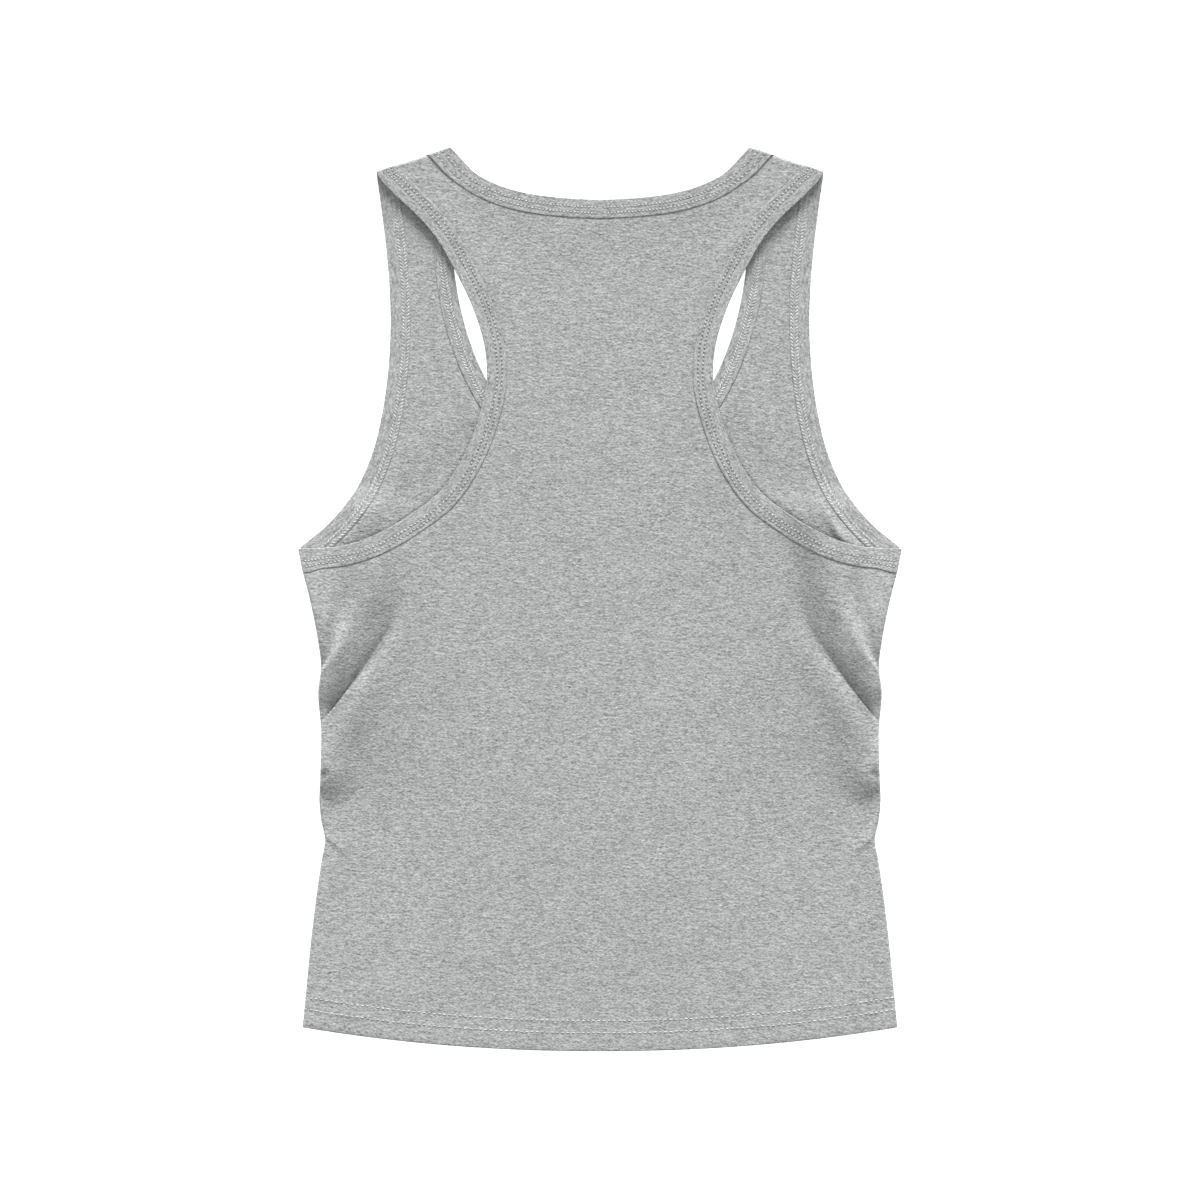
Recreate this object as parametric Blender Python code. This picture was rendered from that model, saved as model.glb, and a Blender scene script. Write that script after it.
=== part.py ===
"""Racerback tank top in cotton jersey, lying flat with its back up.

Five pieces are cut and sewn: a front panel, a back panel, a neck binding that runs all round the neck,
and a binding round each armhole. The front lies face down on Z = 0 and the back lies on it. +Y points to
the neck and +X to the wearer's right. The origin is the middle of the garment's outline, on the surface
that it rests on.

Shapes are worked out in plan, in millimetres, as points on the flat garment. place() then gives each
plan point its height, and rolls the last few millimetres at a shoulder round the shoulder's fold.
"""
import math

import bpy
import bmesh
import numpy as np
from mathutils import Vector
from mathutils.geometry import delaunay_2d_cdt

MM = 0.001                      # the sizes below are millimetres, the meshes metres

# Cloth and how its layers stack
WALL = 1.0                      # one layer of jersey
HEM_WALL = 1.5                  # two pressed layers where the hem is turned up
HEM_DEPTH = 18.0                # height of the turned-up hem
SEAM_GAP = 0.3                  # between pieces that are sewn together
BINDING_WALL = 1.0              # one leaf of a folded binding
BOUND_STEP = BINDING_WALL + SEAM_GAP            # a binding's leaf stands this far outside its panel
BINDING_STACK = WALL + 2 * BOUND_STEP           # both leaves, with the panel between them
STACK_HEIGHT = 2 * BINDING_STACK + SEAM_GAP     # back binding lying on front binding
FOLD_RADIUS = STACK_HEIGHT / 2                  # the shoulder folds round this radius, at this height
BACK_FLAT_FACE = 2 * WALL + SEAM_GAP            # top of the back where it lies on the plain front
BACK_RISE = STACK_HEIGHT - BOUND_STEP - BACK_FLAT_FACE      # more where it lies over the bindings
BACK_RISE_Y = (-90.0, 12.0)     # the back climbs that rise between these heights

# Bindings, measured from the garment's edge into the cloth
NECK_WIDTH = 11.0
NECK_FOLD_WIDTH = 14.0          # measured along the shoulder's fold, which it crosses at a slant
ARMHOLE_WIDTH = 11.7
ARMHOLE_FOLD_WIDTH = 11.4
UNDERARM_WIDTH = 14.4           # measured down the side seam
SLOT_START = 1.3                # a binding's inner leaves part here
RAW_EDGE = 1.9                  # the panel's raw edge ends here, inside the binding
TURN_LENGTH = 16.0              # a binding's cross-section turns to its end's direction over this length

# Outline of the right half: each row is (half_width, y)
NECK_POINT = (89.0, 263.85)
SHOULDER_POINT = (130.0, 250.4)
UNDERARM = (176.0, 30.0)
BACK_NECK = (NECK_POINT, (79.0, 254.4), (70.5, 247.6), (61.0, 242.8), (44.0, 237.6), (26.0, 235.0),
             (0.0, 233.4))
BACK_ARMHOLE = (SHOULDER_POINT, (128.2, 244.6), (120.8, 237.2), (110.8, 228.2), (98.2, 214.7),
                (84.2, 191.5), (73.2, 168.0), (67.0, 146.0), (66.2, 127.0), (71.0, 105.5), (82.5, 78.5),
                (94.0, 62.8), (111.0, 49.6), (129.5, 38.6), (145.0, 32.8), (160.0, 30.4), UNDERARM)
FRONT_ARMHOLE = (SHOULDER_POINT, (128.2, 233.0), (125.3, 210.0), (123.1, 186.0), (122.3, 160.0),
                 (123.5, 136.0), (126.8, 111.0), (132.4, 87.4), (142.6, 64.3), (157.6, 45.4), UNDERARM)
FRONT_NECK_HALF = 86.3          # the front neck is half an ellipse
FRONT_NECK_CENTRE_Y = 215.8
FRONT_NECK_DROP = 136.5
SIDE_SEAM = (UNDERARM, (173.6, 18.0), (169.2, 0.0), (164.6, -23.0), (162.8, -40.0), (164.4, -53.0),
             (162.8, -76.0), (163.4, -105.0), (163.9, -117.0), (162.7, -129.0), (160.5, -140.0),
             (162.4, -151.0), (167.4, -187.0), (172.1, -233.0), (173.7, -249.5))
HEM_CORNER = SIDE_SEAM[-1]
HEM_LOW_Y = -263.5
HEM_CURVE_POWER = 2.1           # the hem drops from its corners to its middle as this power

# Gathers at each side seam. The cloth puffs up along the seam, and creases cut valleys into the puff.
PUFF_HEIGHT = 5.2
PUFF_SEAM_SHARE = 0.5           # of that height at the seam itself
PUFF_Y = (-172.0, -140.0, -34.0, 8.0)           # starts, is full, starts to fade, is gone
PUFF_IN = (12.0, 24.0, 64.0)    # full at this distance from the seam, starts to fade, is gone
FRONT_SHARE = 0.3               # of the gathers' height that the pressed front has
SHARE_IN = 14.0                 # the back has its full share from this distance inward
# Each row is one crease: (seam_y, angle, reach, depth, above, below). seam_y is where it meets the seam,
# angle is in degrees up from straight inward, depth is the share of the puff it takes away, and above and
# below are the widths of its two slopes.
CREASES = (
    (-40.0, 67.0, 46.0, 0.75, 11.0, 4.0),
    (-71.0, 52.0, 78.0, 0.95, 15.0, 7.0),
    (-101.0, 4.0, 12.0, 0.75, 4.0, 5.0),
    (-112.0, 36.0, 56.0, 0.40, 8.0, 9.0),
    (-117.0, 3.0, 40.0, 0.85, 9.0, 6.0),
    (-138.0, -45.0, 38.0, 0.85, 4.0, 10.0),
)

# Mesh spacing
CURVE_STEP = 0.5                # of the smooth lines that stations are read from
BOUND_SPACING = 9.5             # along neck and armholes
SEAM_SPACING = 6.6              # along the gathered sides
HEM_SPACING = 15.0
FLAT_SPACING = 24.0             # over the plain middle
SHOULDER_SPACING = 8.5
FOLD_CLEARANCE = 1.0            # least distance between mesh points: on the folds, along the hem's top,
HEM_CLEARANCE = 2.0             # in the gathers, below the bindings and over the middle
GATHER_CLEARANCE = 4.0
RAMP_CLEARANCE = 9.0
FLAT_CLEARANCE = 15.0
FOLD_ROWS = (0.0, 1 / 3, 2 / 3, 1.0)            # shares of a quarter turn round the shoulder's fold
GATHER_ROWS_IN = (5.0, 11.0, 17.5, 24.5, 32.5, 41.5, 52.0)
BINDING_RAMP_IN = (15.0, 27.0)  # the front comes down off its bindings between these distances
SHOULDER_RAMP_IN = (6.0, 20.0)  # and off the shoulder's fold between these
HEM_STEP = 3.0                  # the hem's second layer ends over this height
HEM_RAMP_UP = (24.0, 78.0)      # the back comes down off the front's hem between these heights above it
CLOSE_SIDE_IN = 10.0            # the side edges close up over this distance
CLOSE_SIDE_Y = (2.0, 15.0)      # and stay open for the binding above these heights

MARL_GREY = (0.43, 0.44, 0.435, 1.0)


def smooth(low, high, value):
    """0 below low, 1 above high, and an even S-curve between."""
    t = np.clip((value - low) / (high - low), 0.0, 1.0)
    return t * t * (3.0 - 2.0 * t)


def unit(vectors):
    """The same directions at length 1."""
    return vectors / np.linalg.norm(vectors, axis=-1, keepdims=True)


def run_of(line):
    """Distance along a line of points, at each of them."""
    return np.concatenate([[0.0], np.cumsum(np.linalg.norm(np.diff(line, axis=0), axis=1))])


def at_runs(line, runs):
    """Points of a line at the given distances along it."""
    total = run_of(line)
    return np.column_stack([np.interp(runs, total, line[:, 0]), np.interp(runs, total, line[:, 1])])


def curve_through(points):
    """A smooth line through the points: a cubic between each two, with the neighbours' slopes."""
    p = np.asarray(points, float)
    t = run_of(p)
    slope = np.gradient(p, t, axis=0)
    fine = np.linspace(0.0, t[-1], int(t[-1] / CURVE_STEP) + 2)
    k = np.clip(np.searchsorted(t, fine, side="right") - 1, 0, len(p) - 2)
    span = (t[k + 1] - t[k])[:, None]
    u = ((fine - t[k]) / (t[k + 1] - t[k]))[:, None]
    return ((2 * u**3 - 3 * u**2 + 1) * p[k] + (u**3 - 2 * u**2 + u) * span * slope[k]
            + (3 * u**2 - 2 * u**3) * p[k + 1] + (u**3 - u**2) * span * slope[k + 1])


def front_neck_points():
    """The front neck: a quarter ellipse up to its widest, then straight on to the neck point."""
    angle = np.radians(np.linspace(0.0, -90.0, 10))
    quarter = np.column_stack([FRONT_NECK_HALF * np.cos(angle),
                               FRONT_NECK_CENTRE_Y + FRONT_NECK_DROP * np.sin(angle)])
    return np.vstack([NECK_POINT, quarter])


EDGES = {
    "back_neck": curve_through(BACK_NECK),
    "back_armhole": curve_through(BACK_ARMHOLE),
    "front_neck": curve_through(front_neck_points()),
    "front_armhole": curve_through(FRONT_ARMHOLE),
    "side": curve_through(SIDE_SEAM),
}
ALONG_SHOULDER = unit(np.subtract(SHOULDER_POINT, NECK_POINT))
OUT_OF_SHOULDER = np.array([-ALONG_SHOULDER[1], ALONG_SHOULDER[0]])


def inside_shoulder(x, y):
    """Plan distance of a point inside the shoulder's edge."""
    return (NECK_POINT[0] - np.abs(x)) * OUT_OF_SHOULDER[0] + (NECK_POINT[1] - y) * OUT_OF_SHOULDER[1]


def side_half_width(y):
    """Half the garment's width at a height, below the underarms."""
    side = EDGES["side"][::-1]
    return np.interp(y, side[:, 1], side[:, 0])


def hem_y(x):
    """Height of the hem's edge."""
    share = np.abs(x) / HEM_CORNER[0]
    return HEM_LOW_Y + (HEM_CORNER[1] - HEM_LOW_Y) * share**HEM_CURVE_POWER


def distance_to(line, x, y):
    """Plan distance from points on either half to the nearest stretch of a line."""
    p = np.column_stack([np.abs(x), y])[:, None, :]
    a = line[:-1][None]
    step = np.diff(line, axis=0)[None]
    t = np.clip(((p - a) * step).sum(2) / (step**2).sum(2), 0.0, 1.0)[..., None]
    return np.linalg.norm(p - a - t * step, axis=2).min(1)


def gathers(x, y):
    """Height of the gathers: a puff along each side seam with valleys cut into it."""
    inward = side_half_width(y) - np.abs(x)
    start, full, fade, gone = PUFF_Y
    full_in, fade_in, gone_in = PUFF_IN
    puff = PUFF_HEIGHT * smooth(start, full, y) * (1.0 - smooth(fade, gone, y))
    puff *= PUFF_SEAM_SHARE + (1.0 - PUFF_SEAM_SHARE) * smooth(0.0, full_in, inward)
    puff *= 1.0 - smooth(fade_in, gone_in, inward)
    for seam_y, angle, reach, depth, above, below in CREASES:
        c = math.cos(math.radians(angle))
        s = math.sin(math.radians(angle))
        along = inward * c + (y - seam_y) * s
        aside = (y - seam_y) * c - inward * s
        spread = 0.6 + 0.6 * np.clip(along / reach, 0.0, 1.0)
        width = np.where(aside > 0.0, above, below) * spread
        fading = smooth(-8.0, 0.0, along) * (1.0 - smooth(0.45 * reach, reach, along))
        puff *= 1.0 - depth * fading * np.exp(-(aside / width)**2)
    return puff


def back_climb(y):
    """Share of the rise that the back has climbed where it lies over the bindings."""
    return smooth(*BACK_RISE_Y, y)


def bound(x, y):
    """1 where the front lies in or beside a binding, falling to 0 over the plain cloth."""
    sparse = [EDGES[edge][::8] for edge in ("front_neck", "front_armhole")]
    nearest = np.minimum(distance_to(sparse[0], x, y), distance_to(sparse[1], x, y))
    by_edge = 1.0 - smooth(*BINDING_RAMP_IN, nearest)
    by_shoulder = 1.0 - smooth(*SHOULDER_RAMP_IN, inside_shoulder(x, y))
    return 1.0 - (1.0 - by_edge) * (1.0 - by_shoulder)


def side_closing(x, y):
    """How far each panel moves towards the other along a side seam, so that their edges meet."""
    inward = np.clip((side_half_width(y) - np.abs(x)) / CLOSE_SIDE_IN, 0.0, 1.0)
    spare = BACK_RISE * back_climb(y) - BOUND_STEP * bound(x, y)
    return 0.5 * spare * (1.0 - inward)**2 * (1.0 - smooth(*CLOSE_SIDE_Y, y))


def cloth_wall(x, y):
    """Thickness of a panel: two layers of it in the hem."""
    up = y - hem_y(x)
    return WALL + (HEM_WALL - WALL) * (1.0 - smooth(HEM_DEPTH, HEM_DEPTH + HEM_STEP, up))


class Front:
    """The lower layer: its outer face is its underside."""
    inward = 1.0

    @staticmethod
    def face(x, y):
        return BOUND_STEP * bound(x, y) + FRONT_SHARE * gathers(x, y) + side_closing(x, y)


class Back:
    """The upper layer: its outer face is its top."""
    inward = -1.0

    @staticmethod
    def face(x, y):
        hem = 1.0 - smooth(*HEM_RAMP_UP, y - hem_y(x))
        share = FRONT_SHARE + (1.0 - FRONT_SHARE) * smooth(0.0, SHARE_IN, side_half_width(y) - np.abs(x))
        return (BACK_FLAT_FACE + 2 * (HEM_WALL - WALL) * hem + BACK_RISE * back_climb(y)
                + share * gathers(x, y) - side_closing(x, y))


def place(layer, plan, depth):
    """Points of the solid for plan points, at a depth from the layer's outer face into the garment.

    Within FOLD_RADIUS of the shoulder's edge the cloth turns a quarter round the fold.
    """
    x, y = plan[:, 0], plan[:, 1]
    inside = inside_shoulder(x, y)
    flat_z = layer.face(x, y) + layer.inward * depth
    turn = np.clip(inside / FOLD_RADIUS, 0.0, 1.0) * math.pi / 2
    radius = FOLD_RADIUS - BOUND_STEP - depth
    shift = radius * np.cos(turn) - (FOLD_RADIUS - inside)
    shift = np.where(inside < FOLD_RADIUS, shift, 0.0)
    folded_z = FOLD_RADIUS - layer.inward * radius * np.sin(turn)
    return np.column_stack([x + np.sign(x) * OUT_OF_SHOULDER[0] * shift, y + OUT_OF_SHOULDER[1] * shift,
                            np.where(inside < FOLD_RADIUS, folded_z, flat_z)])


def edge_stations(edge, cloth_side, width, fold_width, end_width=None):
    """Stations along a bound edge, from the top of the shoulder's fold to its other end.

    Each has a point on the edge, the direction across the binding into the cloth, and the binding's
    width. At the fold the direction lies along it. At an underarm (end_width given) it runs down the
    side seam, and elsewhere it is square to the edge.
    """
    line = EDGES[edge]
    run = run_of(line)
    inside = inside_shoulder(line[:, 0], line[:, 1])
    near = inside < 4 * FOLD_RADIUS
    fold_runs = np.interp(FOLD_RADIUS * np.array(FOLD_ROWS), inside[near], run[near])
    count = int(round((run[-1] - fold_runs[-1]) / BOUND_SPACING))
    runs = np.concatenate([fold_runs, np.linspace(fold_runs[-1], run[-1], count + 1)[1:]])
    tangent = np.column_stack([np.interp(runs, run, np.gradient(line[:, i], run)) for i in (0, 1)])
    square = cloth_side * unit(np.column_stack([-tangent[:, 1], tangent[:, 0]]))
    points = at_runs(line, runs)
    blend = smooth(FOLD_RADIUS, FOLD_RADIUS + TURN_LENGTH, inside_shoulder(points[:, 0], points[:, 1]))
    blend = blend[:, None]
    across = unit((1 - blend) * cloth_side * ALONG_SHOULDER + blend * square)
    widths = fold_width + (width - fold_width) * blend[:, 0]
    if end_width:
        down_side = unit(np.subtract(SIDE_SEAM[1], SIDE_SEAM[0]))
        ending = smooth(run[-1] - TURN_LENGTH, run[-1], runs)
        across = unit((1 - ending[:, None]) * across + ending[:, None] * down_side)
        widths += (end_width - widths) * ending
    return points, across, widths


STATIONS = {
    "back_neck": edge_stations("back_neck", 1.0, NECK_WIDTH, NECK_FOLD_WIDTH),
    "front_neck": edge_stations("front_neck", 1.0, NECK_WIDTH, NECK_FOLD_WIDTH),
    "back_armhole": edge_stations("back_armhole", -1.0, ARMHOLE_WIDTH, ARMHOLE_FOLD_WIDTH, UNDERARM_WIDTH),
    "front_armhole": edge_stations("front_armhole", -1.0, ARMHOLE_WIDTH, ARMHOLE_FOLD_WIDTH,
                                   UNDERARM_WIDTH),
}


def into_cloth(edge, distance):
    """The line at a distance inside a bound edge."""
    points, across, _ = STATIONS[edge]
    return points + distance * across


def mirrored(points):
    """The same points on the left half."""
    return points * np.array([-1.0, 1.0])


def shoulder_shares(start, end):
    """Even steps along a shoulder between two ends, which are left out, as a column."""
    count = int(np.linalg.norm(end - start) / SHOULDER_SPACING)
    return np.linspace(0.0, 1.0, count + 1)[1:-1, None]


def panel_outline(side):
    """A panel's cut edge in plan, anticlockwise from the middle of the hem, with raw edges in the
    bindings."""
    half_turn = math.asin(SEAM_GAP / 2 / (FOLD_RADIUS - BOUND_STEP - WALL))
    gap_at_fold = FOLD_RADIUS * half_turn / (math.pi / 2)
    hem_x = np.linspace(0.0, HEM_CORNER[0], int(HEM_CORNER[0] / HEM_SPACING) + 1)
    hem = np.column_stack([hem_x, hem_y(hem_x)])
    armhole = into_cloth(side + "_armhole", RAW_EDGE)
    neck = into_cloth(side + "_neck", RAW_EDGE)
    side_rise = armhole[-1][1] - HEM_CORNER[1]
    side_heights = np.linspace(HEM_CORNER[1], armhole[-1][1], int(side_rise / SEAM_SPACING) + 1)[1:-1]
    seam = np.column_stack([side_half_width(side_heights), side_heights])
    armhole[0] -= gap_at_fold * OUT_OF_SHOULDER
    neck[0] -= gap_at_fold * OUT_OF_SHOULDER
    shoulder = armhole[0] + shoulder_shares(armhole[0], neck[0]) * (neck[0] - armhole[0])
    right = np.vstack([hem, seam, armhole[::-1], shoulder, neck])
    right[-1, 0] = 0.0
    return np.vstack([right, mirrored(right[1:-1])[::-1]])


def gather_points():
    """Plan points over the gathered sides, in staggered rows along the seam."""
    rows = []
    heights = np.arange(PUFF_Y[0] + 4.0, PUFF_Y[3] + 3.0, SEAM_SPACING)
    for index, inward in enumerate(GATHER_ROWS_IN):
        y = heights + (index % 2) * SEAM_SPACING / 2
        rows.append(np.column_stack([side_half_width(y) - inward, y]))
    right = np.vstack(rows)
    return np.vstack([right, mirrored(right)])


def hem_points():
    """Plan points along the top of the turned-up hem, where the wall changes."""
    end = HEM_CORNER[0] - HEM_SPACING / 2
    x = np.linspace(-end, end, int(2 * end / FLAT_SPACING) + 1)
    return np.vstack([np.column_stack([x, hem_y(x) + up]) for up in (HEM_DEPTH, HEM_DEPTH + HEM_STEP)])


def binding_ramp_points():
    """Plan points where the front comes down off its bindings."""
    rows = [into_cloth(edge, d)[1::2] for edge in ("front_neck", "front_armhole") for d in BINDING_RAMP_IN]
    right = np.vstack(rows)
    return np.vstack([right, mirrored(right)])


def fold_rows(side):
    """Rows of plan points across the shoulders, from binding to binding, down the turn of the fold."""
    armhole, neck = (into_cloth(side + edge, RAW_EDGE) for edge in ("_armhole", "_neck"))
    share = np.vstack([[[0.0]], shoulder_shares(armhole[0], neck[0]), [[1.0]]])
    right = [armhole[k] + share * (neck[k] - armhole[k]) for k in range(1, len(FOLD_ROWS))]
    return right + [mirrored(row) for row in right]


def flat_points():
    """A staggered lattice over the whole garment's box."""
    y = np.arange(HEM_LOW_Y + FLAT_SPACING / 2, NECK_POINT[1], FLAT_SPACING * math.sqrt(0.75))
    rows = []
    for index, height in enumerate(y):
        x = np.arange(0.0, UNDERARM[0], FLAT_SPACING) + (index % 2) * FLAT_SPACING / 2
        rows.append(np.column_stack([x, np.full(len(x), height)]))
    right = np.vstack(rows)
    return np.vstack([right, mirrored(right[right[:, 0] > 0.0])])


def kept_apart(groups, outline):
    """The groups' points in order, leaving out any that crowds the outline or a point before it."""
    kept = np.empty((0, 2))
    ahead = np.roll(outline, -1, axis=0)
    for points, clearance in groups:
        for point in points:
            near_kept = len(kept) and np.linalg.norm(kept - point, axis=1).min() < clearance
            step = ahead - outline
            t = np.clip(((point - outline) * step).sum(1) / (step**2).sum(1), 0.0, 1.0)[:, None]
            near_edge = np.linalg.norm(point - outline - t * step, axis=1).min() < 0.5 * clearance
            if not near_kept and not near_edge:
                kept = np.vstack([kept, point])
    return kept


def fill(outline, inner, rows):
    """Triangles inside the outline, through the inner points, with edges along the rows."""
    plan = np.vstack([outline, inner])
    loop = list(range(len(outline)))
    edges = []
    for row in rows:
        chain = [int(np.linalg.norm(plan - point, axis=1).argmin()) for point in row]
        edges += list(zip(chain, chain[1:]))
    found = delaunay_2d_cdt([Vector(p) for p in plan], edges, [loop], 1, 1e-5)
    used = sorted({i for face in found[2] for i in face})
    renumbered = {old: new for new, old in enumerate(used)}
    faces = [tuple(renumbered[i] for i in face) for face in found[2]]
    return np.array([tuple(found[0][i]) for i in used]), faces


def walled(low, high, faces):
    """A closed wall from a lower and an upper sheet with the same anticlockwise faces."""
    count = len(low)
    edges = {(a, b) for face in faces for a, b in zip(face, face[1:] + face[:1])}
    rim = [(b + count, a + count, a, b) for a, b in edges if (b, a) not in edges]
    top = [tuple(i + count for i in face) for face in faces]
    bottom = [tuple(reversed(face)) for face in faces]
    return np.vstack([low, high]), top + bottom + rim


def make_object(name, points, faces, material):
    """An object whose mesh has these points, given in millimetres, and outward faces."""
    mesh = bpy.data.meshes.new(name)
    mesh.from_pydata((points * MM).tolist(), [], faces)
    work = bmesh.new()
    work.from_mesh(mesh)
    bmesh.ops.recalc_face_normals(work, faces=work.faces)
    work.to_mesh(mesh)
    work.free()
    mesh.shade_smooth()
    mesh.set_sharp_from_angle(angle=math.radians(50))
    mesh.materials.append(material)
    piece = bpy.data.objects.new(name, mesh)
    bpy.context.scene.collection.objects.link(piece)
    return piece


def jersey(name):
    """Plain light grey marl jersey."""
    material = bpy.data.materials.new(name)
    material.use_nodes = True
    shader = material.node_tree.nodes["Principled BSDF"]
    shader.inputs["Base Color"].default_value = MARL_GREY
    shader.inputs["Roughness"].default_value = 0.9
    shader.inputs["Metallic"].default_value = 0.0
    return material


def make_panel(name, side, layer, extra_points):
    """A panel: its plan filled with triangles, raised to its height and given its wall."""
    outline = panel_outline(side)
    rows = fold_rows(side)
    groups = [(row[1:-1], FOLD_CLEARANCE) for row in rows]
    groups += [(gather_points(), GATHER_CLEARANCE), (hem_points(), HEM_CLEARANCE)]
    groups += [(points, RAMP_CLEARANCE) for points in extra_points] + [(flat_points(), FLAT_CLEARANCE)]
    plan, faces = fill(outline, kept_apart(groups, outline), rows)
    wall = cloth_wall(plan[:, 0], plan[:, 1])
    outer = place(layer, plan, np.zeros(len(plan)))
    inner = place(layer, plan, wall)
    low, high = (outer, inner) if layer is Front else (inner, outer)
    points, faces = walled(low, high, faces)
    return make_object(name, points, faces, jersey(name + "_jersey"))


def binding_section():
    """The folded strip's cross-section: columns are share of its width, distance in, and depth.

    Distance in is measured from the garment's edge, and depth from the panel's outer face. The first and
    last points are on the outer leaf's free edge.
    """
    low, high = -BOUND_STEP, WALL + BOUND_STEP
    middle = WALL / 2
    return np.array([
        (1.0, 0.0, low), (0.0, 1.1, low), (0.0, 0.3, low + 0.55), (0.0, 0.0, middle),
        (0.0, 0.3, high - 0.55), (0.0, 1.1, high), (1.0, 0.0, high), (1.0, 0.0, WALL + SEAM_GAP),
        (0.0, SLOT_START, WALL + SEAM_GAP), (0.0, SLOT_START, -SEAM_GAP), (1.0, 0.0, -SEAM_GAP),
    ])


def swept(edge, layer, left=False):
    """The binding's cross-section at each station of an edge, as an array of stations, points, xyz."""
    points, across, widths = STATIONS[edge]
    section = binding_section()
    reach = section[:, 0] * widths[:, None] + section[:, 1]
    plan = points[:, None, :] + reach[..., None] * across[:, None, :]
    plan = (mirrored(plan) if left else plan).reshape(-1, 2)
    depth = np.tile(section[:, 2], len(points))
    return place(layer, plan, depth).reshape(len(points), len(section), 3)


def make_binding(name, rings, closed):
    """A binding from its cross-sections in order, closed on itself or capped at both ends."""
    stations, count = rings.shape[:2]
    faces = []
    for i in range(stations if closed else stations - 1):
        j = (i + 1) % stations
        for a in range(count):
            b = (a + 1) % count
            faces.append((i * count + a, i * count + b, j * count + b, j * count + a))
    if not closed:
        faces.append(tuple(range(count)))
        faces.append(tuple((stations - 1) * count + a for a in range(count)))
    return make_object(name, rings.reshape(-1, 3), faces, jersey(name + "_jersey"))


def make_bindings():
    """The neck binding, all the way round, and one binding for each armhole."""
    back_right, back_left = swept("back_neck", Back), swept("back_neck", Back, left=True)
    front_right, front_left = swept("front_neck", Front), swept("front_neck", Front, left=True)
    ring = np.concatenate([back_right, back_left[-2::-1], front_left[1:], front_right[-2:0:-1]])
    make_binding("neck_binding", ring, closed=True)
    for name, left in (("armhole_binding_left", True), ("armhole_binding_right", False)):
        front = swept("front_armhole", Front, left)
        back = swept("back_armhole", Back, left)
        make_binding(name, np.concatenate([front[::-1], back[1:]]), closed=False)


def main():
    for old in list(bpy.data.objects):
        bpy.data.objects.remove(old, do_unlink=True)
    make_panel("front_panel", "front", Front, [binding_ramp_points()])
    make_panel("back_panel", "back", Back, [])
    make_bindings()


main()
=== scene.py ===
# %% [markdown]
# # A racerback tank top in grey marl jersey
#
# The real garment is five pieces of thin knitted cotton: a front, a back, a strip bound round the neck and
# a strip bound round each armhole. It lies flat with its back up, so the inside of its front shows through
# the armholes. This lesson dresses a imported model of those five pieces. Each plain solid is replaced by a
# thin cloth surface worked out with numpy, then come the rows of stitching, the knitted material, and a
# soft studio light. Shapes are worked out in millimetres on the flat garment and become metres at the end.

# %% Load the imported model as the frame
import math

import bpy
import numpy as np
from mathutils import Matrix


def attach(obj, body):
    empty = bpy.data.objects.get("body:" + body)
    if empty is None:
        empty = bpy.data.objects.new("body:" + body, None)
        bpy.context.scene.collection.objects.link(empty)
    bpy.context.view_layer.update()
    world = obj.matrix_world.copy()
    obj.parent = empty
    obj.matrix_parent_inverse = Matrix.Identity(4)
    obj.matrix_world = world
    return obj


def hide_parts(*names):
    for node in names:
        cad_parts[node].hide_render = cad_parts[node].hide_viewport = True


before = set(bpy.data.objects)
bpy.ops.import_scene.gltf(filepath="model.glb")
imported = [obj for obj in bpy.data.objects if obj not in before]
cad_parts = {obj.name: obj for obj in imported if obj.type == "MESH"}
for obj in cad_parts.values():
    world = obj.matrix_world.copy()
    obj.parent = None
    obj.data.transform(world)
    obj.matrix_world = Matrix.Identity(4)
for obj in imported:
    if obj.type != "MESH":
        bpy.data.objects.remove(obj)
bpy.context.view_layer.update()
MM = 0.001
print("solid pieces:", ", ".join(sorted(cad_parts)))

# %% [markdown]
# ## Curves through a few points
#
# A pattern cutter marks a few points and joins them with a curve ruler. The same idea works in code: a
# short table of points, and a cubic between each two whose slopes come from the neighbours. A Bezier curve
# object would do this too, but arrays are easier to measure, offset and sample again.

# %% Small helpers for arrays of points
def smooth(low, high, value):
    """0 below low, 1 above high, and between them the S-curve 3t² - 2t³."""
    t = np.clip((value - low) / (high - low), 0.0, 1.0)
    return t * t * (3.0 - 2.0 * t)


def unit(vectors):
    """Each vector divided by its length."""
    return vectors / np.linalg.norm(vectors, axis=-1, keepdims=True)


def run_of(line):
    """Distance along a line at each of its points: the running sum of its steps."""
    return np.concatenate([[0.0], np.cumsum(np.linalg.norm(np.diff(line, axis=0), axis=1))])


def at_runs(line, runs):
    """Points of a line at the given distances along it."""
    total = run_of(line)
    return np.stack([np.interp(runs, total, line[:, i]) for i in range(line.shape[1])], axis=-1)


def curve_through(points, step=0.5):
    """A cubic between each two points, whose slope at a point is its neighbours' mean slope."""
    p = np.asarray(points, float)
    t = run_of(p)
    slope = np.gradient(p, t, axis=0)
    fine = np.linspace(0.0, t[-1], int(t[-1] / step) + 2)
    k = np.clip(np.searchsorted(t, fine, side="right") - 1, 0, len(p) - 2)
    span = (t[k + 1] - t[k])[:, None]
    u = ((fine - t[k]) / (t[k + 1] - t[k]))[:, None]
    return ((2 * u**3 - 3 * u**2 + 1) * p[k] + (u**3 - 2 * u**2 + u) * span * slope[k]
            + (3 * u**2 - 2 * u**3) * p[k + 1] + (u**3 - u**2) * span * slope[k + 1])


def mirrored(points):
    """The same points on the left half."""
    return points * np.array([-1.0, 1.0])


# %% [markdown]
# ## The cut of the right half
#
# Each row is (half width, height above the garment's middle) in millimetres. The left half is the mirror
# image. The front neck is half an ellipse, so it needs three sizes instead of a table.

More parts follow.
